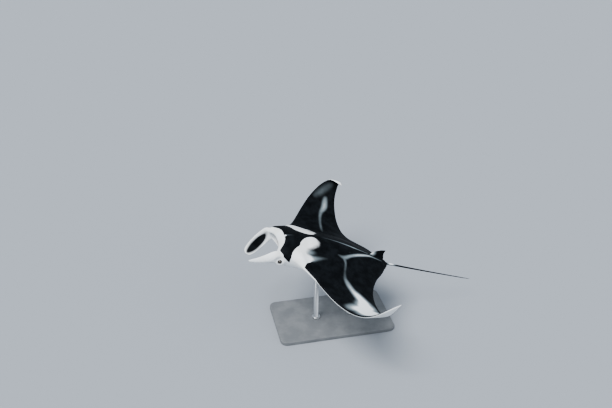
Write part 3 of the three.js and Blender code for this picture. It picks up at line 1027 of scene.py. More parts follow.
    def detail(self, bm: BMesh) -> None:
        """Rounds the seams, shapes the back and orbits, and makes room for fine relief."""
        self.split_many_sided(bm)
        for blend in BLENDS:
            self.round_seam(bm, blend)
        self.raise_crest_and_orbits(bm)
        wide, close = self.fine_around_eyes
        self.refine_around_eyes(bm, wide)
        self.refine(bm, in_gills)
        self.refine_around_eyes(bm, close)
        self.refine(bm, at_slit)

    def build(self) -> Object:
        """Makes the whole skin, marked and in its pose."""
        skin = self.join_parts()
        with edited(skin) as bm:
            self.detail(bm)
        self.cut_sockets(skin)
        with edited(skin) as bm:
            self.split_many_sided(bm)
            self.raise_lids(bm)
            self.press_gills(bm)
            self.ridge_mouth(bm)
            layer = bm.faces.layers.int[PART_LAYER]
            parts = np.array([min(face[layer] for face in vert.link_faces) for vert in bm.verts])
            flat = np.array([vert.co for vert in bm.verts])
            place(bm.verts, swim(flat))
        skin.data.shade_smooth()
        for name, values in Markings(self.ray, flat, parts).fields().items():
            carry(skin, name, values)
        carry(skin, "flat", flat * SPAN)
        skin.data.attributes.remove(skin.data.attributes[PART_LAYER])
        return skin


# ---- markings ------------------------------------------------------------------------------------
@dataclass(frozen=True)
class Streak:
    """Soft pale band: rows of [share, x, y, half width, strength] along it."""

    rows: Rows
    samples: int = 120

    def amount(self, x: Array, y: Array) -> Array:
        """How pale the band makes flat points, from 0 to 1."""
        most = np.zeros(x.shape)
        for at_x, at_y, half, strength in Curve(self.rows)(np.linspace(0, 1, self.samples)):
            near = np.hypot(x - at_x, y - at_y) / half
            most = np.maximum(most, strength * np.exp(-(near**2)))
        return most


@dataclass(frozen=True)
class Blotch:
    """Closed marking with a crisp edge, given by the corners of its outline."""

    corners: Rows
    samples: int = 90

    def depth(self, x: Array, y: Array) -> Array:
        """Signed distance to the rounded outline, positive inside."""
        ring = [*self.corners, self.corners[0]]
        outline = EdgeCurve(ring)(np.linspace(0, 1, self.samples, endpoint=False))
        return depth_inside(outline, x, y)


@dataclass(frozen=True)
class LobePatch:
    """Soft dark oval on the inner face of a lobe, by shares along it and down it."""

    along: float
    down: float
    half_along: float
    half_down: float
    border: Pair
    strength: float

    def amount(self, along: Array, down: Array) -> Array:
        """How dark the oval makes points of the lobe."""
        away = np.hypot((along - self.along) / self.half_along, (down - self.down) / self.half_down)
        return self.strength * smooth(1 - away, *self.border)


MUZZLE_REAR = Curve(
    (
        (0, 0.036), (0.028, 0.0355), (0.045, 0.032), (0.057, 0.0276), (0.072, 0.019),
        (0.086, 0.0115), (0.093, 0.016), (0.104, 0.031), (0.114, 0.045), (0.121, 0.056),
        (0.15, 0.06),
    )
)
SHOULDER = (
    (0.056, 0.122), (0.0546, 0.1013), (0.0677, 0.0834), (0.0857, 0.0659), (0.09, 0.052),
    (0.096, 0.042), (0.101, 0.035), (0.111, 0.024), (0.126, 0.014), (0.142, 0.01), (0.155, 0.015),
    (0.162, 0.027), (0.165, 0.04), (0.16, 0.051), (0.148, 0.059), (0.132, 0.066), (0.12, 0.074),
    (0.112, 0.083), (0.11, 0.092), (0.118, 0.099), (0.131, 0.105), (0.135, 0.112), (0.13, 0.119),
    (0.121, 0.127), (0.106, 0.137), (0.097, 0.15), (0.075, 0.158), (0.05, 0.145),
)
FAR_SHOULDER = (
    (0.056, 0.122), (0.0546, 0.1013), (0.064, 0.0834), (0.077, 0.0659), (0.084, 0.042),
    (0.096, 0.028), (0.111, 0.017), (0.128, 0.011), (0.144, 0.01), (0.155, 0.015), (0.164, 0.027),
    (0.168, 0.045), (0.164, 0.062), (0.157, 0.076), (0.162, 0.092), (0.176, 0.108), (0.184, 0.124),
    (0.18, 0.142), (0.164, 0.158), (0.14, 0.168), (0.11, 0.172), (0.08, 0.165), (0.05, 0.145),
)
SHOULDER_STREAK = Streak(
    (
        (0, 0.116, -0.108, 0.014, 1), (0.25, 0.136, -0.108, 0.013, 0.62),
        (0.5, 0.153, -0.105, 0.012, 0.4), (1, 0.192, -0.1, 0.008, 0.16),
    )
)
SHOULDER_SMOKE = Streak(((0, 0.114, -0.086, 0.015, 0.66), (1, 0.146, -0.084, 0.014, 0.20)))
# Pale line along the crest of the back: a painted highlight where the raised crest catches the
# light.
CREST_HIGHLIGHT = Streak(
    (
        (0, 0.175, -0.001, 0.003, 0.2), (0.3, 0.24, -0.003, 0.0034, 0.4),
        (0.55, 0.295, -0.006, 0.0036, 0.62), (0.72, 0.325, -0.006, 0.0036, 0.7),
        (0.85, 0.35, -0.004, 0.0034, 0.5), (1, 0.388, -0.001, 0.003, 0.45),
    )
)
TAIL_STREAK = Streak(
    (
        (0, 0.24, -0.073, 0.006, 0.25), (0.12, 0.264, -0.078, 0.01, 0.46),
        (0.3, 0.295, -0.062, 0.007, 0.62), (0.58, 0.352, -0.032, 0.007, 0.78),
        (0.8, 0.397, -0.013, 0.006, 0.7), (0.9, 0.424, -0.011, 0.005, 0.5),
        (1, 0.452, -0.012, 0.004, 0.34),
    )
)
BAND_LINK = Streak(
    (
        (0, 0.264, -0.078, 0.009, 0.46), (0.4, 0.268, -0.1, 0.007, 0.38),
        (1, 0.2605, -0.134, 0.008, 0.26),
    )
)
LEFT_BAND = Streak(
    (
        (0, 0.2605, -0.134, 0.008, 0.26), (0.2, 0.256, -0.17, 0.01, 0.36),
        (0.35, 0.261, -0.2, 0.013, 0.62), (0.5, 0.2725, -0.2336, 0.014, 0.8),
        (0.65, 0.286, -0.258, 0.018, 1.05), (0.85, 0.297, -0.29, 0.023, 1.3),
        (1, 0.295, -0.33, 0.036, 1.4),
    )
)
LEFT_PATCH = Streak(
    (
        (0, 0.234, -0.345, 0.026, 0.6), (0.25, 0.272, -0.352, 0.036, 1.25),
        (0.6, 0.292, -0.388, 0.043, 1.5), (1, 0.312, -0.45, 0.045, 1.2),
    )
)
# The far, right wing's white band and tip patch are drawn as faint grey haze, not white: painted
# shade, as the raised wing faces away from the light.
RIGHT_BAND_IN_PAINTED_SHADE = Streak(
    (
        (0, 0.2545, 0.17, 0.008, 0.18), (0.2, 0.262, 0.218, 0.009, 0.33),
        (0.4, 0.2675, 0.259, 0.009, 0.34), (0.6, 0.274, 0.3, 0.01, 0.38),
        (0.75, 0.282, 0.327, 0.012, 0.42), (0.88, 0.297, 0.354, 0.014, 0.66),
        (0.95, 0.3, 0.376, 0.014, 0.6), (1, 0.302, 0.396, 0.013, 0.4),
    )
)
RIGHT_PATCH_IN_PAINTED_SHADE = Streak(
    (
        (0, 0.258, 0.405, 0.02, 0.25), (0.5, 0.285, 0.428, 0.026, 0.3),
        (1, 0.318, 0.458, 0.024, 0.24),
    )
)
HEAD_SPOT = (0.0387, -0.0116, 0.0042)
# Pale streak behind the head spot, along the head's midline: a painted highlight.
HEAD_HIGHLIGHT = Streak(((0, 0.045, -0.012, 0.007, 0.30), (1, 0.070, -0.010, 0.008, 0.16)))
STREAKS = (
    CREST_HIGHLIGHT, BAND_LINK, LEFT_BAND, LEFT_PATCH, RIGHT_BAND_IN_PAINTED_SHADE, RIGHT_PATCH_IN_PAINTED_SHADE, HEAD_HIGHLIGHT,
    SHOULDER_STREAK, SHOULDER_SMOKE, TAIL_STREAK,
)
BELLY_SPOTS = (
    (0.262, 0.02, 0.0085), (0.285, -0.031, 0.011), (0.301, 0.006, 0.006), (0.312, 0.046, 0.012),
    (0.331, -0.012, 0.0075), (0.345, 0.027, 0.009), (0.35, -0.048, 0.0065), (0.371, 0.004, 0.011),
    (0.247, -0.06, 0.006), (0.236, 0.066, 0.0085), (0.205, 0.004, 0.0055), (0.389, -0.024, 0.006),
    (0.278, 0.088, 0.006), (0.3, -0.086, 0.008), (0.226, -0.022, 0.0045),
)
RIM_LEFT = Curve(((0.12, 0.0018), (0.20, 0.0011), (0.26, -0.002), (0.5, -0.002)))
# How far the dark back is carried round under each wing's front edge, by span. Under the left wing
# this is partly the dark edge of the back and partly painted shade: white underside near the front
# edge is drawn dark where it lies in shade.
LEFT_WRAP = Curve(
    ((0, 0), (0.13, 0), (0.2, 0.16), (0.34, 0.18), (0.42, 0.45), (0.47, 0.45), (0.5, 0))
)
RIGHT_WRAP = Curve(((0, 0), (0.13, 0), (0.20, 0.82), (0.43, 0.82), (0.47, 0), (0.5, 0)))
MARGIN = Curve(
    ((0, 0.004), (0.1, 0.012), (0.2, 0.02), (0.35, 0.016), (0.44, 0.005), (0.5, 0.001))
)
SOFT_ZONES = (((0.108, 0.140), (0.015, 0.035)), ((0.092, 0.112), (0.055, 0.070)))
SOFT_END = (0.114, 0.126)
# Dark ovals on a lobe's inner face: the first is the dark marking at the tip, and the second,
# greyer one towards the root is painted shade on the white inner face.
LOBE_PATCHES = (
    LobePatch(0.64, 0.54, 0.37, 0.45, (-0.12, 0.36), 1.0),
    LobePatch(0.38, 0.50, 0.40, 0.44, (0, 0.6), 0.68),
)


@dataclass
class Markings:
    """What colour fields each vertex of the skin carries.

    pale is a signed distance, positive where the hide is white, and edge is how wide its border
    is. fade dims the white; on the lobes it also carries painted shade. haze is a soft pale band
    over dark hide; along the back's crest, the head's midline and the top of the tail's root it is
    a painted highlight, and on the far wing it is a white band dimmed by painted shade. shade is a
    soft grey over white hide. inner is how deep a point lies in the mouth, which is painted darker
    there as shade, and slit how dark a gill slit is painted, as shadow in its groove.
    """

    ray: FlatRay
    flat: Array
    parts: Array
    limit: float = 0.03
    turn: float = 0.0015
    rim_from: float = 0.12
    patch_fade: float = 0.25
    patch_fade_over: Pair = (0.130, 0.175)
    spot_stretch: float = 0.85
    margin_grey: float = 0.85
    margin_from: float = 0.25
    margin_to: Pair = (1.8, 0.004)
    band_to_rear: Pair = (0.002, 0.012)
    band_to_front: Pair = (0.0005, 0.005)
    cheek: Triple = (0.075, 0.085, -0.032)
    throat: Pair = (0.026, 0.092)
    lobe_from: float = 0.018
    lobe_root: Pair = (-0.006, 0.014)
    lobe_turn: float = 0.002
    lobe_grid: tuple[int, int] = (180, 110)
    lobe_painted_shade: float = 0.40
    lobe_painted_shade_down: Pair = (0.55, 0.95)
    lobe_painted_shade_along: Pair = (0.1, 0.4)
    dorsal_base: Rows = ((0.406, 0.015), (0.038, 0.012))
    dorsal_haze: float = 0.9
    tail_highlight: Pair = (0.503, 0.019)
    tail_highlight_top: Pair = (0.002, 0.006)
    tail_highlight_strength: float = 0.95
    pelvic_top: float = -0.006
    crisp: float = 0.0010
    softening: float = 0.0085
    belly_edge: float = 0.0018
    front_edge: float = 0.0005
    front_width: float = 0.006

    def __post_init__(self) -> None:
        """Measures the points once."""
        self.x, self.y, self.z = self.flat.T
        self.out = np.abs(self.y)
        self.to_front = self.ray.to_edge("front", self.x, self.y)
        self.to_rear = self.ray.to_edge("rear", self.x, self.y)
        wrap = np.where(self.y < 0, LEFT_WRAP(self.out), RIGHT_WRAP(self.out))
        wrap = wrap * self.ray.curves["wing"](self.out) * (self.to_front < self.to_rear)
        drop = self.ray.arch(self.x, self.y) - wrap - self.z
        self.under = smooth(drop, -self.turn, self.turn)
        self.found: dict[str, Array] = {}

    def of(self, *parts: Part) -> Array:
        """Which points belong to any of these parts."""
        return np.isin(self.parts, [part.value for part in parts])

    def put(self, where: Array, **values: Array | float) -> None:
        """Replaces fields, by their names, at some of the points."""
        for name, value in values.items():
            self.found[name] = np.where(where, value, self.found[name])

    def upper(self) -> tuple[Array, Array]:
        """White patches of the back and of the upper wings, and how far each fades."""
        x, left = self.x, self.y < 0
        girth = self.out + np.maximum(0, -self.z)
        muzzle = MUZZLE_REAR(girth) - x
        shoulder = np.where(
            left, Blotch(SHOULDER).depth(x, girth), Blotch(FAR_SHOULDER).depth(x, girth)
        )
        rim = RIM_LEFT(self.out) - self.to_front
        rim = np.where(left & (self.out > self.rim_from), rim, -self.limit)
        spot_x, spot_y, spot_r = HEAD_SPOT
        spot = spot_r - np.hypot(x - spot_x, self.y - spot_y)
        pale = np.maximum.reduce([muzzle, shoulder, rim, spot])
        faded = smooth(x, *self.patch_fade_over) * (shoulder > muzzle)
        return pale, 1 - self.patch_fade * faded

    def lower(self) -> tuple[Array, Array]:
        """White of the underside with its spots, and its grey margins."""
        pale = np.full(self.x.shape, self.limit)
        for x, y, radius in BELLY_SPOTS:
            away = np.hypot(self.x - x, (self.y - y) * self.spot_stretch)
            pale = np.minimum(pale, away - radius)
        width = MARGIN(self.out)
        times, more = self.margin_to
        inward = smooth(self.to_rear, self.margin_from * width, times * width + more)
        return pale, self.margin_grey * (1 - inward)

    def bands(self) -> Array:
        """Soft pale bands of the upper side; some are painted highlights, and the far wing's band
        is dimmed by painted shade.
        """
        haze = np.maximum.reduce([streak.amount(self.x, self.y) for streak in STREAKS])
        haze *= smooth(self.to_rear, *self.band_to_rear)
        return haze * smooth(self.to_front, *self.band_to_front)

    def softness(self) -> Array:
        """How blurred the rear border of the shoulder patches is, from 0 to 1."""
        zones = [smooth(self.x, *x) * smooth(self.out, *out) for x, out in SOFT_ZONES]
        return np.maximum.reduce(zones) * (1 - smooth(self.out, *SOFT_END))

    def mark_lobe(self, lobe: Lobe, part: Part) -> None:
        """Makes a cephalic lobe white, with a dark marking on its inner face, and with painted
        shade along the lower edge of its outer face and over the root half of its inner face.
        """
        mine = self.of(part) & (self.x < self.lobe_from)
        axes = [np.linspace(0, 1, count) for count in self.lobe_grid]
        u, v = (grid.ravel() for grid in np.meshgrid(*axes))
        middle, outward = lobe.middle(u, v)
        tree = tree_of(middle)
        near = np.array([tree.find(spot)[1] for spot in self.flat[mine]], int)
        along, down = cosine_share(u)[near], cosine_share(v)[near]
        height = ((self.flat[mine] - middle[near]) * outward[near]).sum(axis=1)
        # Dark marking at the tip, and painted shade towards the root.
        dark = sum(patch.amount(along, down) for patch in LOBE_PATCHES)
        dark *= 1 - smooth(self.x[mine], *self.lobe_root)
        inside = np.clip(1 - dark, 0, 1)
        # Grey along the lower edge of the outer face: painted shade.
        lower = smooth(down, *self.lobe_painted_shade_down) * smooth(along, *self.lobe_painted_shade_along)
        outside = 1 - self.lobe_painted_shade * lower
        white = np.ones(self.x.shape)
        white[mine] = inside + (outside - inside) * smooth(height, -self.lobe_turn, self.lobe_turn)
        self.put(mine, pale=self.limit, fade=white, haze=0)

    def mark_fins(self) -> None:
        """Makes the fins and tail dark, with a pale place at the dorsal fin's root and a painted
        highlight along the top of the tail's root.
        """
        (base_x, long), (base_z, tall) = self.dorsal_base
        base = np.exp(-(((self.x - base_x) / long) ** 2) - ((self.z - base_z) / tall) ** 2)
        self.put(self.of(Part.DORSAL_FIN), pale=-self.limit, haze=self.dorsal_haze * base)
        # Pale dash along the top of the tail's root: a painted highlight.
        ring_x, ring_length = self.tail_highlight
        ring = np.exp(-(((self.x - ring_x) / ring_length) ** 2)) * smooth(self.z, *self.tail_highlight_top)
        self.put(self.of(Part.TAIL), pale=-self.limit, haze=self.tail_highlight_strength * ring)
        colour = np.where(self.z > self.pelvic_top, -self.limit, self.limit)
        self.put(self.of(Part.RIGHT_PELVIC, Part.LEFT_PELVIC), pale=colour, haze=0)

    def fields(self) -> dict[str, Array]:
        """All fields, by name."""
        pale, fade = self.upper()
        under_pale, shade = self.lower()
        behind, inside, below = self.cheek
        cheek = (self.x < behind) & (self.out > inside) & (self.z > below)
        under = np.where(cheek, 0, self.under)
        pale = np.clip(pale, -self.limit, self.limit)
        pale += (np.clip(under_pale, -self.limit, self.limit) - pale) * under
        mouth = self.of(Part.MOUTH)
        # Painted shadow in the gill slits.
        slit = sum(slit.darkness(self.x, self.out) for slit in SLITS)
        self.found = {
            "pale": pale,
            "fade": fade + (1 - fade) * under,
            "haze": self.bands() * (1 - self.under),
            "shade": shade * under,
            # How deep in the mouth each point lies, where the throat is painted dark as shade.
            "inner": np.where(mouth, smooth(self.x, *self.throat), 0),
            "slit": slit * ((self.z < 0) & self.of(Part.DISC)),
        }
        self.mark_lobe(RIGHT_LOBE, Part.RIGHT_LOBE)
        self.mark_lobe(LEFT_LOBE, Part.LEFT_LOBE)
        self.put(mouth, pale=self.limit)
        self.mark_fins()
        edge = self.crisp + self.softening * self.softness()
        edge = np.where(self.under < 0.5, edge, self.belly_edge)
        edge = np.where(self.to_front < self.front_width, self.front_edge, edge)
        shares = {name: np.clip(values, 0, 1) for name, values in self.found.items()}
        pale = np.clip(self.found["pale"], -self.limit, self.limit)
        return {**shares, "pale": pale * SPAN, "edge": edge * SPAN}


# ---- shaders -------------------------------------------------------------------------------------
Feed: TypeAlias = "Wire | float | tuple[float, ...]"
Operator = Callable[["Wire", Feed], "Wire"]


def operator(operation: str) -> tuple[Operator, Operator]:
    """Makes one of a wire's operators.

    Args:
        operation: The Math node's operation.

    Returns:
        The operator, and its reflected form.
    """

    def plain(self: "Wire", other: Feed) -> "Wire":
        """Adds the node, with the wire first."""
        return self.paint.maths(operation, self, other)

    def reflected(self: "Wire", other: Feed) -> "Wire":
        """Adds the node, with the wire last."""
        return self.paint.maths(operation, other, self)

    return plain, reflected


class Wire:
    """One value in a material's nodes. Its arithmetic adds Math nodes."""

    def __init__(self, paint: "Paint", socket: NodeSocket) -> None:
        """Holds an output socket of a material in the making."""
        self.paint = paint
        self.socket = socket

    __add__, __radd__ = operator("ADD")
    __sub__, __rsub__ = operator("SUBTRACT")
    __mul__, __rmul__ = operator("MULTIPLY")
    __truediv__, __rtruediv__ = operator("DIVIDE")


@dataclass(frozen=True)
class Grain:
    """One kind of cloudy noise."""

    scale: float
    detail: float = 2.0
    roughness: float = 0.5
    distortion: float = 0.0


class Paint:
    """A material in the making, with its shader."""

    def __init__(self, name: str, **constants: Any) -> None:
        """Starts a material.

        Args:
            name: The material's name.
            constants: Values of the shader's sockets that are the same all over, with
                underscores for the spaces in the sockets' names.
        """
        self.material = bpy.data.materials.new(name)
        self.material.use_nodes = True
        self.shader = self.material.node_tree.nodes["Principled BSDF"]
        self.drive(**constants)

    def drive(self, **feeds: Feed) -> None:
        """Feeds the shader's sockets, by their names with underscores."""
        for key, value in feeds.items():
            self.connect(self.shader.inputs[key.replace("_", " ")], value)

    def connect(self, socket: NodeSocket, value: Feed) -> None:
        """Links a wire to an input socket, or writes a constant on it."""
        if isinstance(value, Wire):
            self.material.node_tree.links.new(value.socket, socket)
        else:
            socket.default_value = value

    def node(
        self, kind: str, output: str | int, feeds: dict[str | int, Feed], **settings: Any
    ) -> Wire:
        """Adds any node.

        Args:
            kind: The node's type, without its usual prefix.
            output: Name or place of the output that is used.
            feeds: What goes into its inputs, by their name or place.
            settings: The node's own settings.

        Returns:
            Its output.
        """
        node = self.material.node_tree.nodes.new(f"ShaderNode{kind}")
        for key, value in settings.items():
            setattr(node, key, value)
        for key, value in feeds.items():
            self.connect(node.inputs[key], value)
        return Wire(self, node.outputs[output])

    def maths(self, operation: str, *values: Feed) -> Wire:
        """Adds a Math node."""
        return self.node("Math", 0, dict(enumerate(values)), operation=operation)

    def scaled(self, vector: Wire, by: Triple) -> Wire:
        """Vector with each of its parts scaled."""
        return self.node("VectorMath", "Vector", {0: vector, 1: by}, operation="MULTIPLY")

    def length(self, vector: Wire) -> Wire:
        """Length of a vector."""
        return self.node("VectorMath", "Value", {0: vector}, operation="LENGTH")

    def number(self, name: str) -> Wire:
        """Number that the mesh carries for each vertex."""
        return self.node("Attribute", "Fac", {}, attribute_name=name)

    def carried(self, name: str) -> Wire:
        """Vector that the mesh carries for each vertex."""
        return self.node("Attribute", "Vector", {}, attribute_name=name)

    def own_place(self) -> Wire:
        """Object coordinates."""
        return self.node("TexCoord", "Object", {})

    def parts(self, vector: Wire) -> list[Wire]:
        """X, y and z of a vector."""
        first = self.node("SeparateXYZ", 0, {0: vector})
        return [Wire(self, socket) for socket in first.socket.node.outputs]

    def join(self, x: Feed, y: Feed, z: Feed = 0.0) -> Wire:
        """A vector of three numbers."""
        return self.node("CombineXYZ", 0, {0: x, 1: y, 2: z})

    def noise(self, at: Wire, grain: Grain) -> Wire:
        """Cloudy noise around one half, read at a vector."""
        feeds = {
            "Vector": at, "Scale": grain.scale, "Detail": grain.detail,
            "Roughness": grain.roughness, "Distortion": grain.distortion,
        }
        return self.node("TexNoise", "Fac", feeds)

    def ramp(
        self, value: Wire, low: Feed, high: Feed, start: float = 0.0, end: float = 1.0
    ) -> Wire:
        """Smooth step, from start up to low, to end from high on."""
        feeds = {0: value, 1: low, 2: high, 3: start, 4: end}
        return self.node("MapRange", 0, feeds, interpolation_type="SMOOTHSTEP")

    def blend(self, share: Feed, first: Feed, second: Feed) -> Wire:
        """Mixes two colours: the first at share 0, the second at share 1."""
        return self.node("Mix", 2, {0: share, 6: first, 7: second}, data_type="RGBA")

    def bump(self, height: Wire, distance: float, **under: Wire) -> Wire:
        """Adds relief of so many metres, on the shader's own normal or on Normal."""
        return self.node("Bump", 0, {"Height": height, "Distance": distance, **under})


# ---- finishes ------------------------------------------------------------------------------------
@dataclass(frozen=True)
class HideFinish:
    """Manta hide: near-black back with white markings, and a white belly."""

    darkest: Colour = (0.0030, 0.0038, 0.0048, 1)
    dark: Colour = (0.0085, 0.0105, 0.0128, 1)
    haze: Colour = (0.22, 0.26, 0.28, 1)
    white: Colour = (0.87, 0.89, 0.90, 1)
    cream: Colour = (0.79, 0.80, 0.78, 1)
    grey: Colour = (0.100, 0.108, 0.118, 1)
    # Dark of the gill slits and nostrils: painted shadow in their grooves and openings.
    slit: Colour = (0.030, 0.022, 0.024, 1)
    palate: Colour = (0.56, 0.50, 0.49, 1)
    # Dark colour deep in the mouth: painted shade of the cavity.
    throat: Colour = (0.060, 0.042, 0.044, 1)
    nostril_at: Triple = (0.006, 0.066, -0.0015)
    nostril_half: Triple = (0.012, 0.0075, 0.0021)
    nostril_border: Pair = (0.55, 1.0)
    mottle: Grain = Grain(9, 5, 0.65)
    mottle_step: Pair = (0.36, 0.66)
    cloud: Grain = Grain(14, 5, 0.7)
    cloud_on_bands: float = 0.40
    cloud_on_margins: float = 0.7
    wobble: Grain = Grain(22, 5, 0.62)
    wobble_least: float = 0.006
    wobble_of_edge: float = 0.9
    yellowing: Grain = Grain(5, 4, 0.6)
    yellowing_step: Pair = (0.40, 0.70)
    haze_step: Pair = (0.10, 0.66)
    bright_step: Pair = (0.55, 0.95)
    margin_step: Pair = (0.05, 0.95)
    throat_step: Pair = (0.12, 0.40)
    ridge_step: Pair = (0.15, 0.80)
    scratch_grain: Grain = Grain(1.0)
    scratch_stretch: Triple = (6, 90, 6)
    scratch_step: Pair = (0.735, 0.775)
    scratch_field: Grain = Grain(3.1, 1)
    scratch_field_step: Pair = (0.60, 0.72)
    scratch_strength: float = 0.30
    speck: Grain = Grain(95, 1)
    speck_step: Pair = (0.80, 0.86)
    speck_strength: float = 0.35
    sheen: Grain = Grain(34, 4, 0.6)
    roughness: Pair = (0.56, 0.16)
    rib_centre: Pair = (0.26, 0.12)
    rib_stretch: Pair = (30, 0.9)
    rib_step: Pair = (0.35, 0.80)
    rib_depth: float = 0.0040
    wrinkle: Grain = Grain(30, 4, 0.6, 0.4)
    wrinkle_depth: float = 0.0012
    pore: Grain = Grain(420, 3, 0.6)
    pore_depth: float = 0.00035

    def make(self) -> Material:
        """Builds the material."""
        paint = Paint(
            "manta_hide", Specular_IOR_Level=0.09, Coat_Weight=0.02, Coat_Roughness=0.30, IOR=1.42
        )
        at = paint.carried("flat")
        least, spread = self.roughness
        paint.drive(
            Base_Color=self.colour(paint, at),
            Roughness=least + spread * paint.noise(at, self.sheen),
            Normal=self.relief(paint, at),
        )
        return paint.material

    def mask(self, paint: Paint, at: Wire) -> Wire:
        """Where the hide is white."""
        edge = paint.number("edge")
        wobble = paint.noise(at, self.wobble) - 0.5
        depth = paint.number("pale") + wobble * (self.wobble_least + self.wobble_of_edge * edge)
        return paint.ramp(depth, edge * -1.0, edge) * paint.number("fade")

    def colour(self, paint: Paint, at: Wire) -> Wire:
        """Colour of the hide all over."""
        mottle = paint.ramp(paint.noise(at, self.mottle), *self.mottle_step)
        dark = paint.blend(mottle, self.darkest, self.dark)
        cloud = paint.noise(at, self.cloud) - 0.5
        haze = paint.number("haze")
        band = haze + cloud * self.cloud_on_bands * haze
        dark = paint.blend(paint.ramp(band, *self.haze_step), dark, self.haze)
        dark = paint.blend(paint.ramp(band, *self.bright_step), dark, self.white)
        yellow = paint.ramp(paint.noise(at, self.yellowing), *self.yellowing_step)
        white = paint.blend(yellow, self.white, self.cream)
        margin = paint.number("shade")
        margin = paint.ramp(margin + cloud * self.cloud_on_margins * margin, *self.margin_step)
        white = paint.blend(margin, white, self.grey)
        base = paint.blend(self.mask(paint, at), dark, white)
        base = paint.blend(self.scratches(paint, at), base, self.haze)
        # Painted shadow in the gill slits and nostrils.
        base = paint.blend(paint.number("slit"), base, self.slit)
        base = paint.blend(self.nostrils(paint, at), base, self.slit)
        # Deep in the mouth the hide turns to the throat's painted shade, except on the pale arches
        # and roof.
        mouth = paint.blend(self.arches(paint, at), self.throat, self.palate)
        return paint.blend(paint.ramp(paint.number("inner"), *self.throat_step), base, mouth)

    def arches(self, paint: Paint, at: Wire) -> Wire:
        """Where the inside of the mouth is pale: on the gill arches and along its roof."""
        x, y, _ = paint.parts(at)
        out = paint.maths("ABSOLUTE", y)

        def step(value: Wire, limits: Pair, *ends: float) -> Wire:
            """Smooth step between two flat places."""
            low, high = limits
            return paint.ramp(value, low * SPAN, high * SPAN, *ends)

        turns = (x + ARCHES.lean * out - ARCHES.start * SPAN) * (math.pi / (ARCHES.step * SPAN))
        wave = paint.maths("SINE", turns)
        ridge = paint.ramp(wave * wave, *self.ridge_step)
        ridge = ridge * step(out, ARCHES.side) * step(x, ARCHES.end, 1.0, 0.0)
        roof = step(out, ARCHES.roof_side, 1.0, 0.0) * step(x, ARCHES.roof_end, 1.0, 0.0)
        return paint.maths("MAXIMUM", ridge, roof)

    def nostrils(self, paint: Paint, at: Wire) -> Wire:
        """The slit-shaped nostrils, at the outer ends of the upper lip, painted dark as shadow in
        their openings.
        """
        x, y, z = paint.parts(at)
        spot = (x, paint.maths("ABSOLUTE", y), z)
        shares = [
            (along - SPAN * centre) / (SPAN * half)
            for along, centre, half in zip(spot, self.nostril_at, self.nostril_half)
        ]
        return paint.ramp(paint.length(paint.join(*shares)), *self.nostril_border, 1.0, 0.0)

    def scratches(self, paint: Paint, at: Wire) -> Wire:
        """Thin healed scratches and small pale specks, faint and few."""
        grain = paint.noise(paint.scaled(at, self.scratch_stretch), self.scratch_grain)
        where = paint.ramp(paint.noise(at, self.scratch_field), *self.scratch_field_step)
        lines = paint.ramp(grain, *self.scratch_step) * where * self.scratch_strength
        specks = paint.ramp(paint.noise(at, self.speck), *self.speck_step) * self.speck_strength
        return paint.maths("MAXIMUM", lines, specks)

    def relief(self, paint: Paint, at: Wire) -> Wire:
        """Fine grain, soft wrinkles, and ridges that fan out over the wings."""
        x, y, _ = paint.parts(at)
        out = paint.maths("ABSOLUTE", y)
        centre_x, centre_out = self.rib_centre
        around, along = self.rib_stretch
        fan = (x - centre_x * SPAN) / (out + centre_out * SPAN)
        ribs = paint.noise(paint.join(fan * around, out * along), Grain(1.0))
        normal = paint.bump(ribs * paint.ramp(out, *self.rib_step), self.rib_depth)
        normal = paint.bump(paint.noise(at, self.wrinkle), self.wrinkle_depth, Normal=normal)
        return paint.bump(paint.noise(at, self.pore), self.pore_depth, Normal=normal)


@dataclass(frozen=True)
class EyeFinish:
    """Wet dark eye: brown iris with fibres, and a wide flattened pupil."""

    ball: Colour = (0.010, 0.010, 0.012, 1)
    iris: Colour = (0.030, 0.021, 0.013, 1)
    gold: Colour = (0.085, 0.060, 0.032, 1)
    pupil: Colour = (0.0015, 0.0015, 0.002, 1)
    fibre: Grain = Grain(1.0, 4, 0.7)
    fibre_stretch: Pair = (9.0, 3.0)
    fibre_step: Pair = (0.38, 0.66)
    iris_edge: Pair = (0.50, 0.66)
    pupil_edge: Pair = (0.24, 0.29)
    pupil_width: float = 1.35

    def make(self) -> Material:
        """Builds the material."""
        paint = Paint(
            "wet_eye", Roughness=0.10, IOR=1.40, Coat_Weight=1.0, Coat_Roughness=0.02
        )
        x, y, _ = paint.parts(paint.carried("look"))
        away = paint.length(paint.join(x, y))
        around, outward = self.fibre_stretch
        turn = paint.maths("ARCTAN2", y, x)
        fibres = paint.noise(paint.join(turn * around, away * outward), self.fibre)
        iris = paint.blend(paint.ramp(fibres, *self.fibre_step), self.iris, self.gold)
        iris = paint.blend(paint.ramp(away, *self.iris_edge), iris, self.ball)
        slot = paint.length(paint.join(x / self.pupil_width, y))
        hole = paint.ramp(slot, *self.pupil_edge, 1.0, 0.0)
        paint.drive(Base_Color=paint.blend(hole, iris, self.pupil))
        return paint.material


@dataclass(frozen=True)
class PaintFinish:
    """Matt paint of the stand's base."""

    colour: Colour = (0.150, 0.158, 0.166, 1)
    worn: Colour = (0.200, 0.208, 0.215, 1)
    wear: Grain = Grain(5, 5, 0.6)
    wear_step: Pair = (0.35, 0.70)
    sheen: Grain = Grain(40, 4, 0.6)
    roughness: Pair = (0.46, 0.18)
    peel: Grain = Grain(520)
    peel_depth: float = 0.00030

    def make(self) -> Material:
        """Builds the material."""
        paint = Paint("stand_paint", Specular_IOR_Level=0.4)
        at = paint.own_place()
        worn = paint.ramp(paint.noise(at, self.wear), *self.wear_step)
        least, spread = self.roughness
        paint.drive(
            Base_Color=paint.blend(worn, self.colour, self.worn),
            Roughness=least + spread * paint.noise(at, self.sheen),
            Normal=paint.bump(paint.noise(at, self.peel), self.peel_depth),
        )
        return paint.material


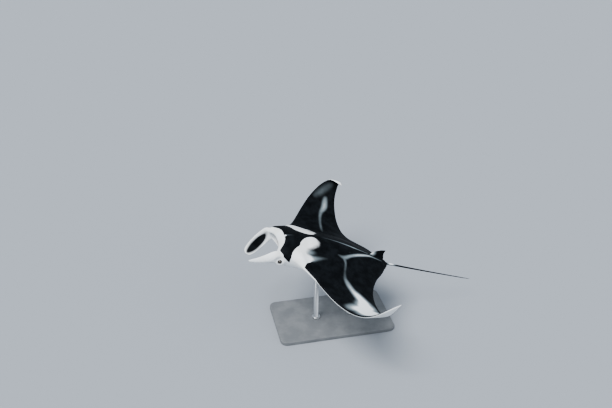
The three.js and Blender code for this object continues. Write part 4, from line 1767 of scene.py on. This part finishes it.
@dataclass(frozen=True)
class SteelFinish:
    """Steel rods, brushed along their length."""

    colour: Colour = (0.52, 0.53, 0.54, 1)
    bright: Colour = (0.68, 0.69, 0.70, 1)
    brush: Grain = Grain(1.0, 3, 0.6)
    stretch: Triple = (900, 900, 14)
    roughness: Pair = (0.24, 0.18)
    depth: float = 0.00008

    def make(self) -> Material:
        """Builds the material."""
        paint = Paint("brushed_steel", Metallic=1.0)
        streaks = paint.noise(paint.scaled(paint.own_place(), self.stretch), self.brush)
        least, spread = self.roughness
        paint.drive(
            Base_Color=paint.blend(streaks, self.colour, self.bright),
            Roughness=least + spread * streaks,
            Normal=paint.bump(streaks, self.depth),
        )
        return paint.material


# ---- eyes and stand ------------------------------------------------------------------------------
@dataclass(frozen=True)
class Eyes:
    """Both eyeballs, each with a slightly bulging cornea."""

    finish: EyeFinish = field(default_factory=EyeFinish)
    segments: int = 96
    rings: int = 64
    cornea_bulge: float = 0.05
    cornea_reach: float = 0.62

    def frame(self, side: int) -> Matrix:
        """Turns the eye's own axes, with z along its gaze and x level, to the flat ray's."""
        ahead = EYE_SPOT.gaze(side)
        level = Vector((0, 0, 1)).cross(ahead).normalized()
        return Matrix((level, ahead.cross(level), ahead)).transposed()

    def eyeball(self, name: str, side: int, skin: Material) -> Object:
        """One eyeball.

        Args:
            name: Right or left, for the piece's name.
            side: 1 for right and -1 for left.
            skin: Its material.

        Returns:
            The eyeball, in its pose.
        """
        bm = ball(1, self.segments, self.rings)
        look = np.array([vert.co for vert in bm.verts])
        turn = np.array(self.frame(side).to_3x3())
        share = np.clip(np.hypot(look[:, 0], look[:, 1]) / self.cornea_reach, 0, 1)
        bulge = np.where(look[:, 2] > 0, self.cornea_bulge * (1 - share**2) ** 2, 0)
        flat = (look * (1 + bulge)[:, None]) @ turn.T * EYE_SPOT.radius
        place(bm.verts, swim(flat + np.array(EYE_SPOT.centre(side))))
        bmesh.ops.recalc_face_normals(bm, faces=bm.faces)
        obj = to_object(bm, f"eye_ball_{name}")
        obj.data.shade_smooth()
        carry(obj, "look", look)
        obj.data.materials.append(skin)
        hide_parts(f"eye_{name}")
        return obj

    def build(self) -> list[Object]:
        """Both eyeballs."""
        skin = self.finish.make()
        return [self.eyeball(name, side, skin) for name, side in SIDES]


@dataclass(frozen=True)
class Stand:
    """Plain display stand: a painted base and two steel rods with foot collars."""

    paint: PaintFinish = field(default_factory=PaintFinish)
    steel: SteelFinish = field(default_factory=SteelFinish)
    corner: float = 0.09
    corner_segments: int = 16
    edge: float = 0.007
    edge_segments: int = 4
    collar_radius: float = 0.054
    collar_height: float = 0.016
    collar_edge: float = 0.003
    rod_steps: int = 72
    into_belly: float = 0.012

    def soften(self, bm: BMesh, level: bool, offset: float, segments: int) -> None:
        """Rounds the base's level edges, or its upright ones."""
        edges = [
            edge for edge in bm.edges
            if level == (abs(edge.verts[0].co.z - edge.verts[1].co.z) < self.edge / 2)
        ]
        bmesh.ops.bevel(
            bm, geom=edges, offset=offset, offset_type="OFFSET", affect="EDGES",
            segments=segments, profile=0.5, material=-1,
        )

    def base(self) -> Object:
        """Flat base with rounded corners and a softened edge."""
        low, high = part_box("stand_base")
        bm = bmesh.new()
        bmesh.ops.create_cube(bm, size=1)
        bmesh.ops.scale(bm, vec=high - low, verts=bm.verts)
        bmesh.ops.translate(bm, vec=(high + low) / 2, verts=bm.verts)
        self.soften(bm, False, self.corner, self.corner_segments)
        self.soften(bm, True, self.edge, self.edge_segments)
        bmesh.ops.recalc_face_normals(bm, faces=bm.faces)
        obj = to_object(bm, "stand_plate")
        obj.data.materials.append(self.paint.make())
        obj.data.shade_smooth()
        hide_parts("stand_base")
        return obj

    def rod(self, name: str, skin: Material) -> Object:
        """One rod with its collar, turned about its own axis.

        Args:
            name: Front or rear.
            skin: Its material.

        Returns:
            The rod.
        """
        low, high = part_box(f"stand_rod_{name}")
        middle = (low + high) / 2
        radius = (high.x - low.x) / 2
        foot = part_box("stand_base")[1].z
        step = self.collar_edge
        lip = foot + self.collar_height
        outline = (
            (0, foot), (self.collar_radius, foot), (self.collar_radius, lip - step),
            (self.collar_radius - step, lip), (radius + step, lip), (radius, lip + step),
            (radius, high.z + self.into_belly), (0, high.z + self.into_belly),
        )
        profile = [(middle.x + out, middle.y, z) for out, z in outline]
        obj = to_object(turned(profile, (0, 0, 1), middle, self.rod_steps), f"stand_post_{name}")
        obj.data.materials.append(skin)
        obj.data.shade_smooth()
        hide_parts(f"stand_rod_{name}")
        return obj

    def build(self) -> list[Object]:
        """The base and both rods."""
        skin = self.steel.make()
        return [self.base(), self.rod("front", skin), self.rod("rear", skin)]


# ---- studio --------------------------------------------------------------------------------------
@dataclass(frozen=True)
class Sun:
    """Soft light from far away: direction to it, width in degrees, and strength."""

    name: str
    toward: Triple
    spread: float
    power: float

    def build(self) -> None:
        """Adds the light."""
        data = bpy.data.lights.new(self.name, "SUN")
        data.angle = math.radians(self.spread)
        data.energy = self.power
        obj = bpy.data.objects.new(self.name, data)
        obj.rotation_euler = Vector(self.toward).to_track_quat("Z", "Y").to_euler()
        bpy.context.scene.collection.objects.link(obj)


@dataclass(frozen=True)
class Studio:
    """Pale floor, soft light and the camera."""

    floor_size: float = 90.0
    floor_colour: Colour = (0.333, 0.354, 0.383, 1)
    sky: Colour = (0.80, 0.89, 1.0, 1)
    sky_strength: float = 0.62
    suns: tuple[Sun, ...] = (
        Sun("key", (-0.50, -0.40, 1.0), 30, 3.4),
        Sun("fill", (0.8, -1.0, 0.7), 60, 0.6),
    )
    look: str = "AgX - Medium High Contrast"
    camera_at: Triple = (-2.215, -8.262, 6.394)
    camera_turn: Triple = (61.3, 0.0, -12.8)
    lens: float = 47.0588
    sensor: float = 36.0
    sight: float = 200.0

    def floor(self) -> None:
        """Plain pale floor."""
        bm = bmesh.new()
        bmesh.ops.create_grid(bm, x_segments=1, y_segments=1, size=self.floor_size / 2)
        obj = to_object(bm, "floor")
        paint = Paint(
            "floor_paint", Base_Color=self.floor_colour, Roughness=0.85, Specular_IOR_Level=0.2
        )
        obj.data.materials.append(paint.material)

    def world(self) -> None:
        """Even pale light from all around."""
        world = bpy.data.worlds.new("studio")
        world.use_nodes = True
        background = world.node_tree.nodes["Background"]
        background.inputs["Color"].default_value = self.sky
        background.inputs["Strength"].default_value = self.sky_strength
        bpy.context.scene.world = world

    def camera(self) -> None:
        """Camera at the working view."""
        data = bpy.data.cameras.new("camera")
        data.lens = self.lens
        data.sensor_width = self.sensor
        data.clip_end = self.sight
        obj = bpy.data.objects.new("camera", data)
        obj.location = self.camera_at
        obj.rotation_euler = [math.radians(angle) for angle in self.camera_turn]
        bpy.context.scene.collection.objects.link(obj)
        bpy.context.scene.camera = obj

    def build(self) -> None:
        """Sets the whole studio up."""
        self.world()
        self.floor()
        for sun in self.suns:
            sun.build()
        self.camera()
        bpy.context.scene.view_settings.look = self.look


# ---- putting it together -------------------------------------------------------------------------
FLESH = (
    "trunk", "head", "lower_jaw", "cephalic_lobe_right", "cephalic_lobe_left",
    "wing_inner_right", "wing_outer_right", "wing_tip_right", "wing_inner_left",
    "wing_outer_left", "wing_tip_left", "dorsal_fin", "pelvic_fin_right", "pelvic_fin_left",
    "tail_base", "tail_middle", "tail_tip",
)


def main() -> None:
    """Builds the ray, its eyes, its stand and the studio, and reports each piece."""
    logging.basicConfig(level=logging.INFO)
    Studio().build()
    skin = Skin().build()
    skin.data.materials.clear()
    skin.data.materials.append(HideFinish().make())
    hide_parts(*FLESH)
    for piece in [skin, *Eyes().build(), *Stand().build()]:
        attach(piece, "root")
        log.info("%s: %d faces", piece.name, len(piece.data.polygons))


if __name__ == "__main__":
    main()
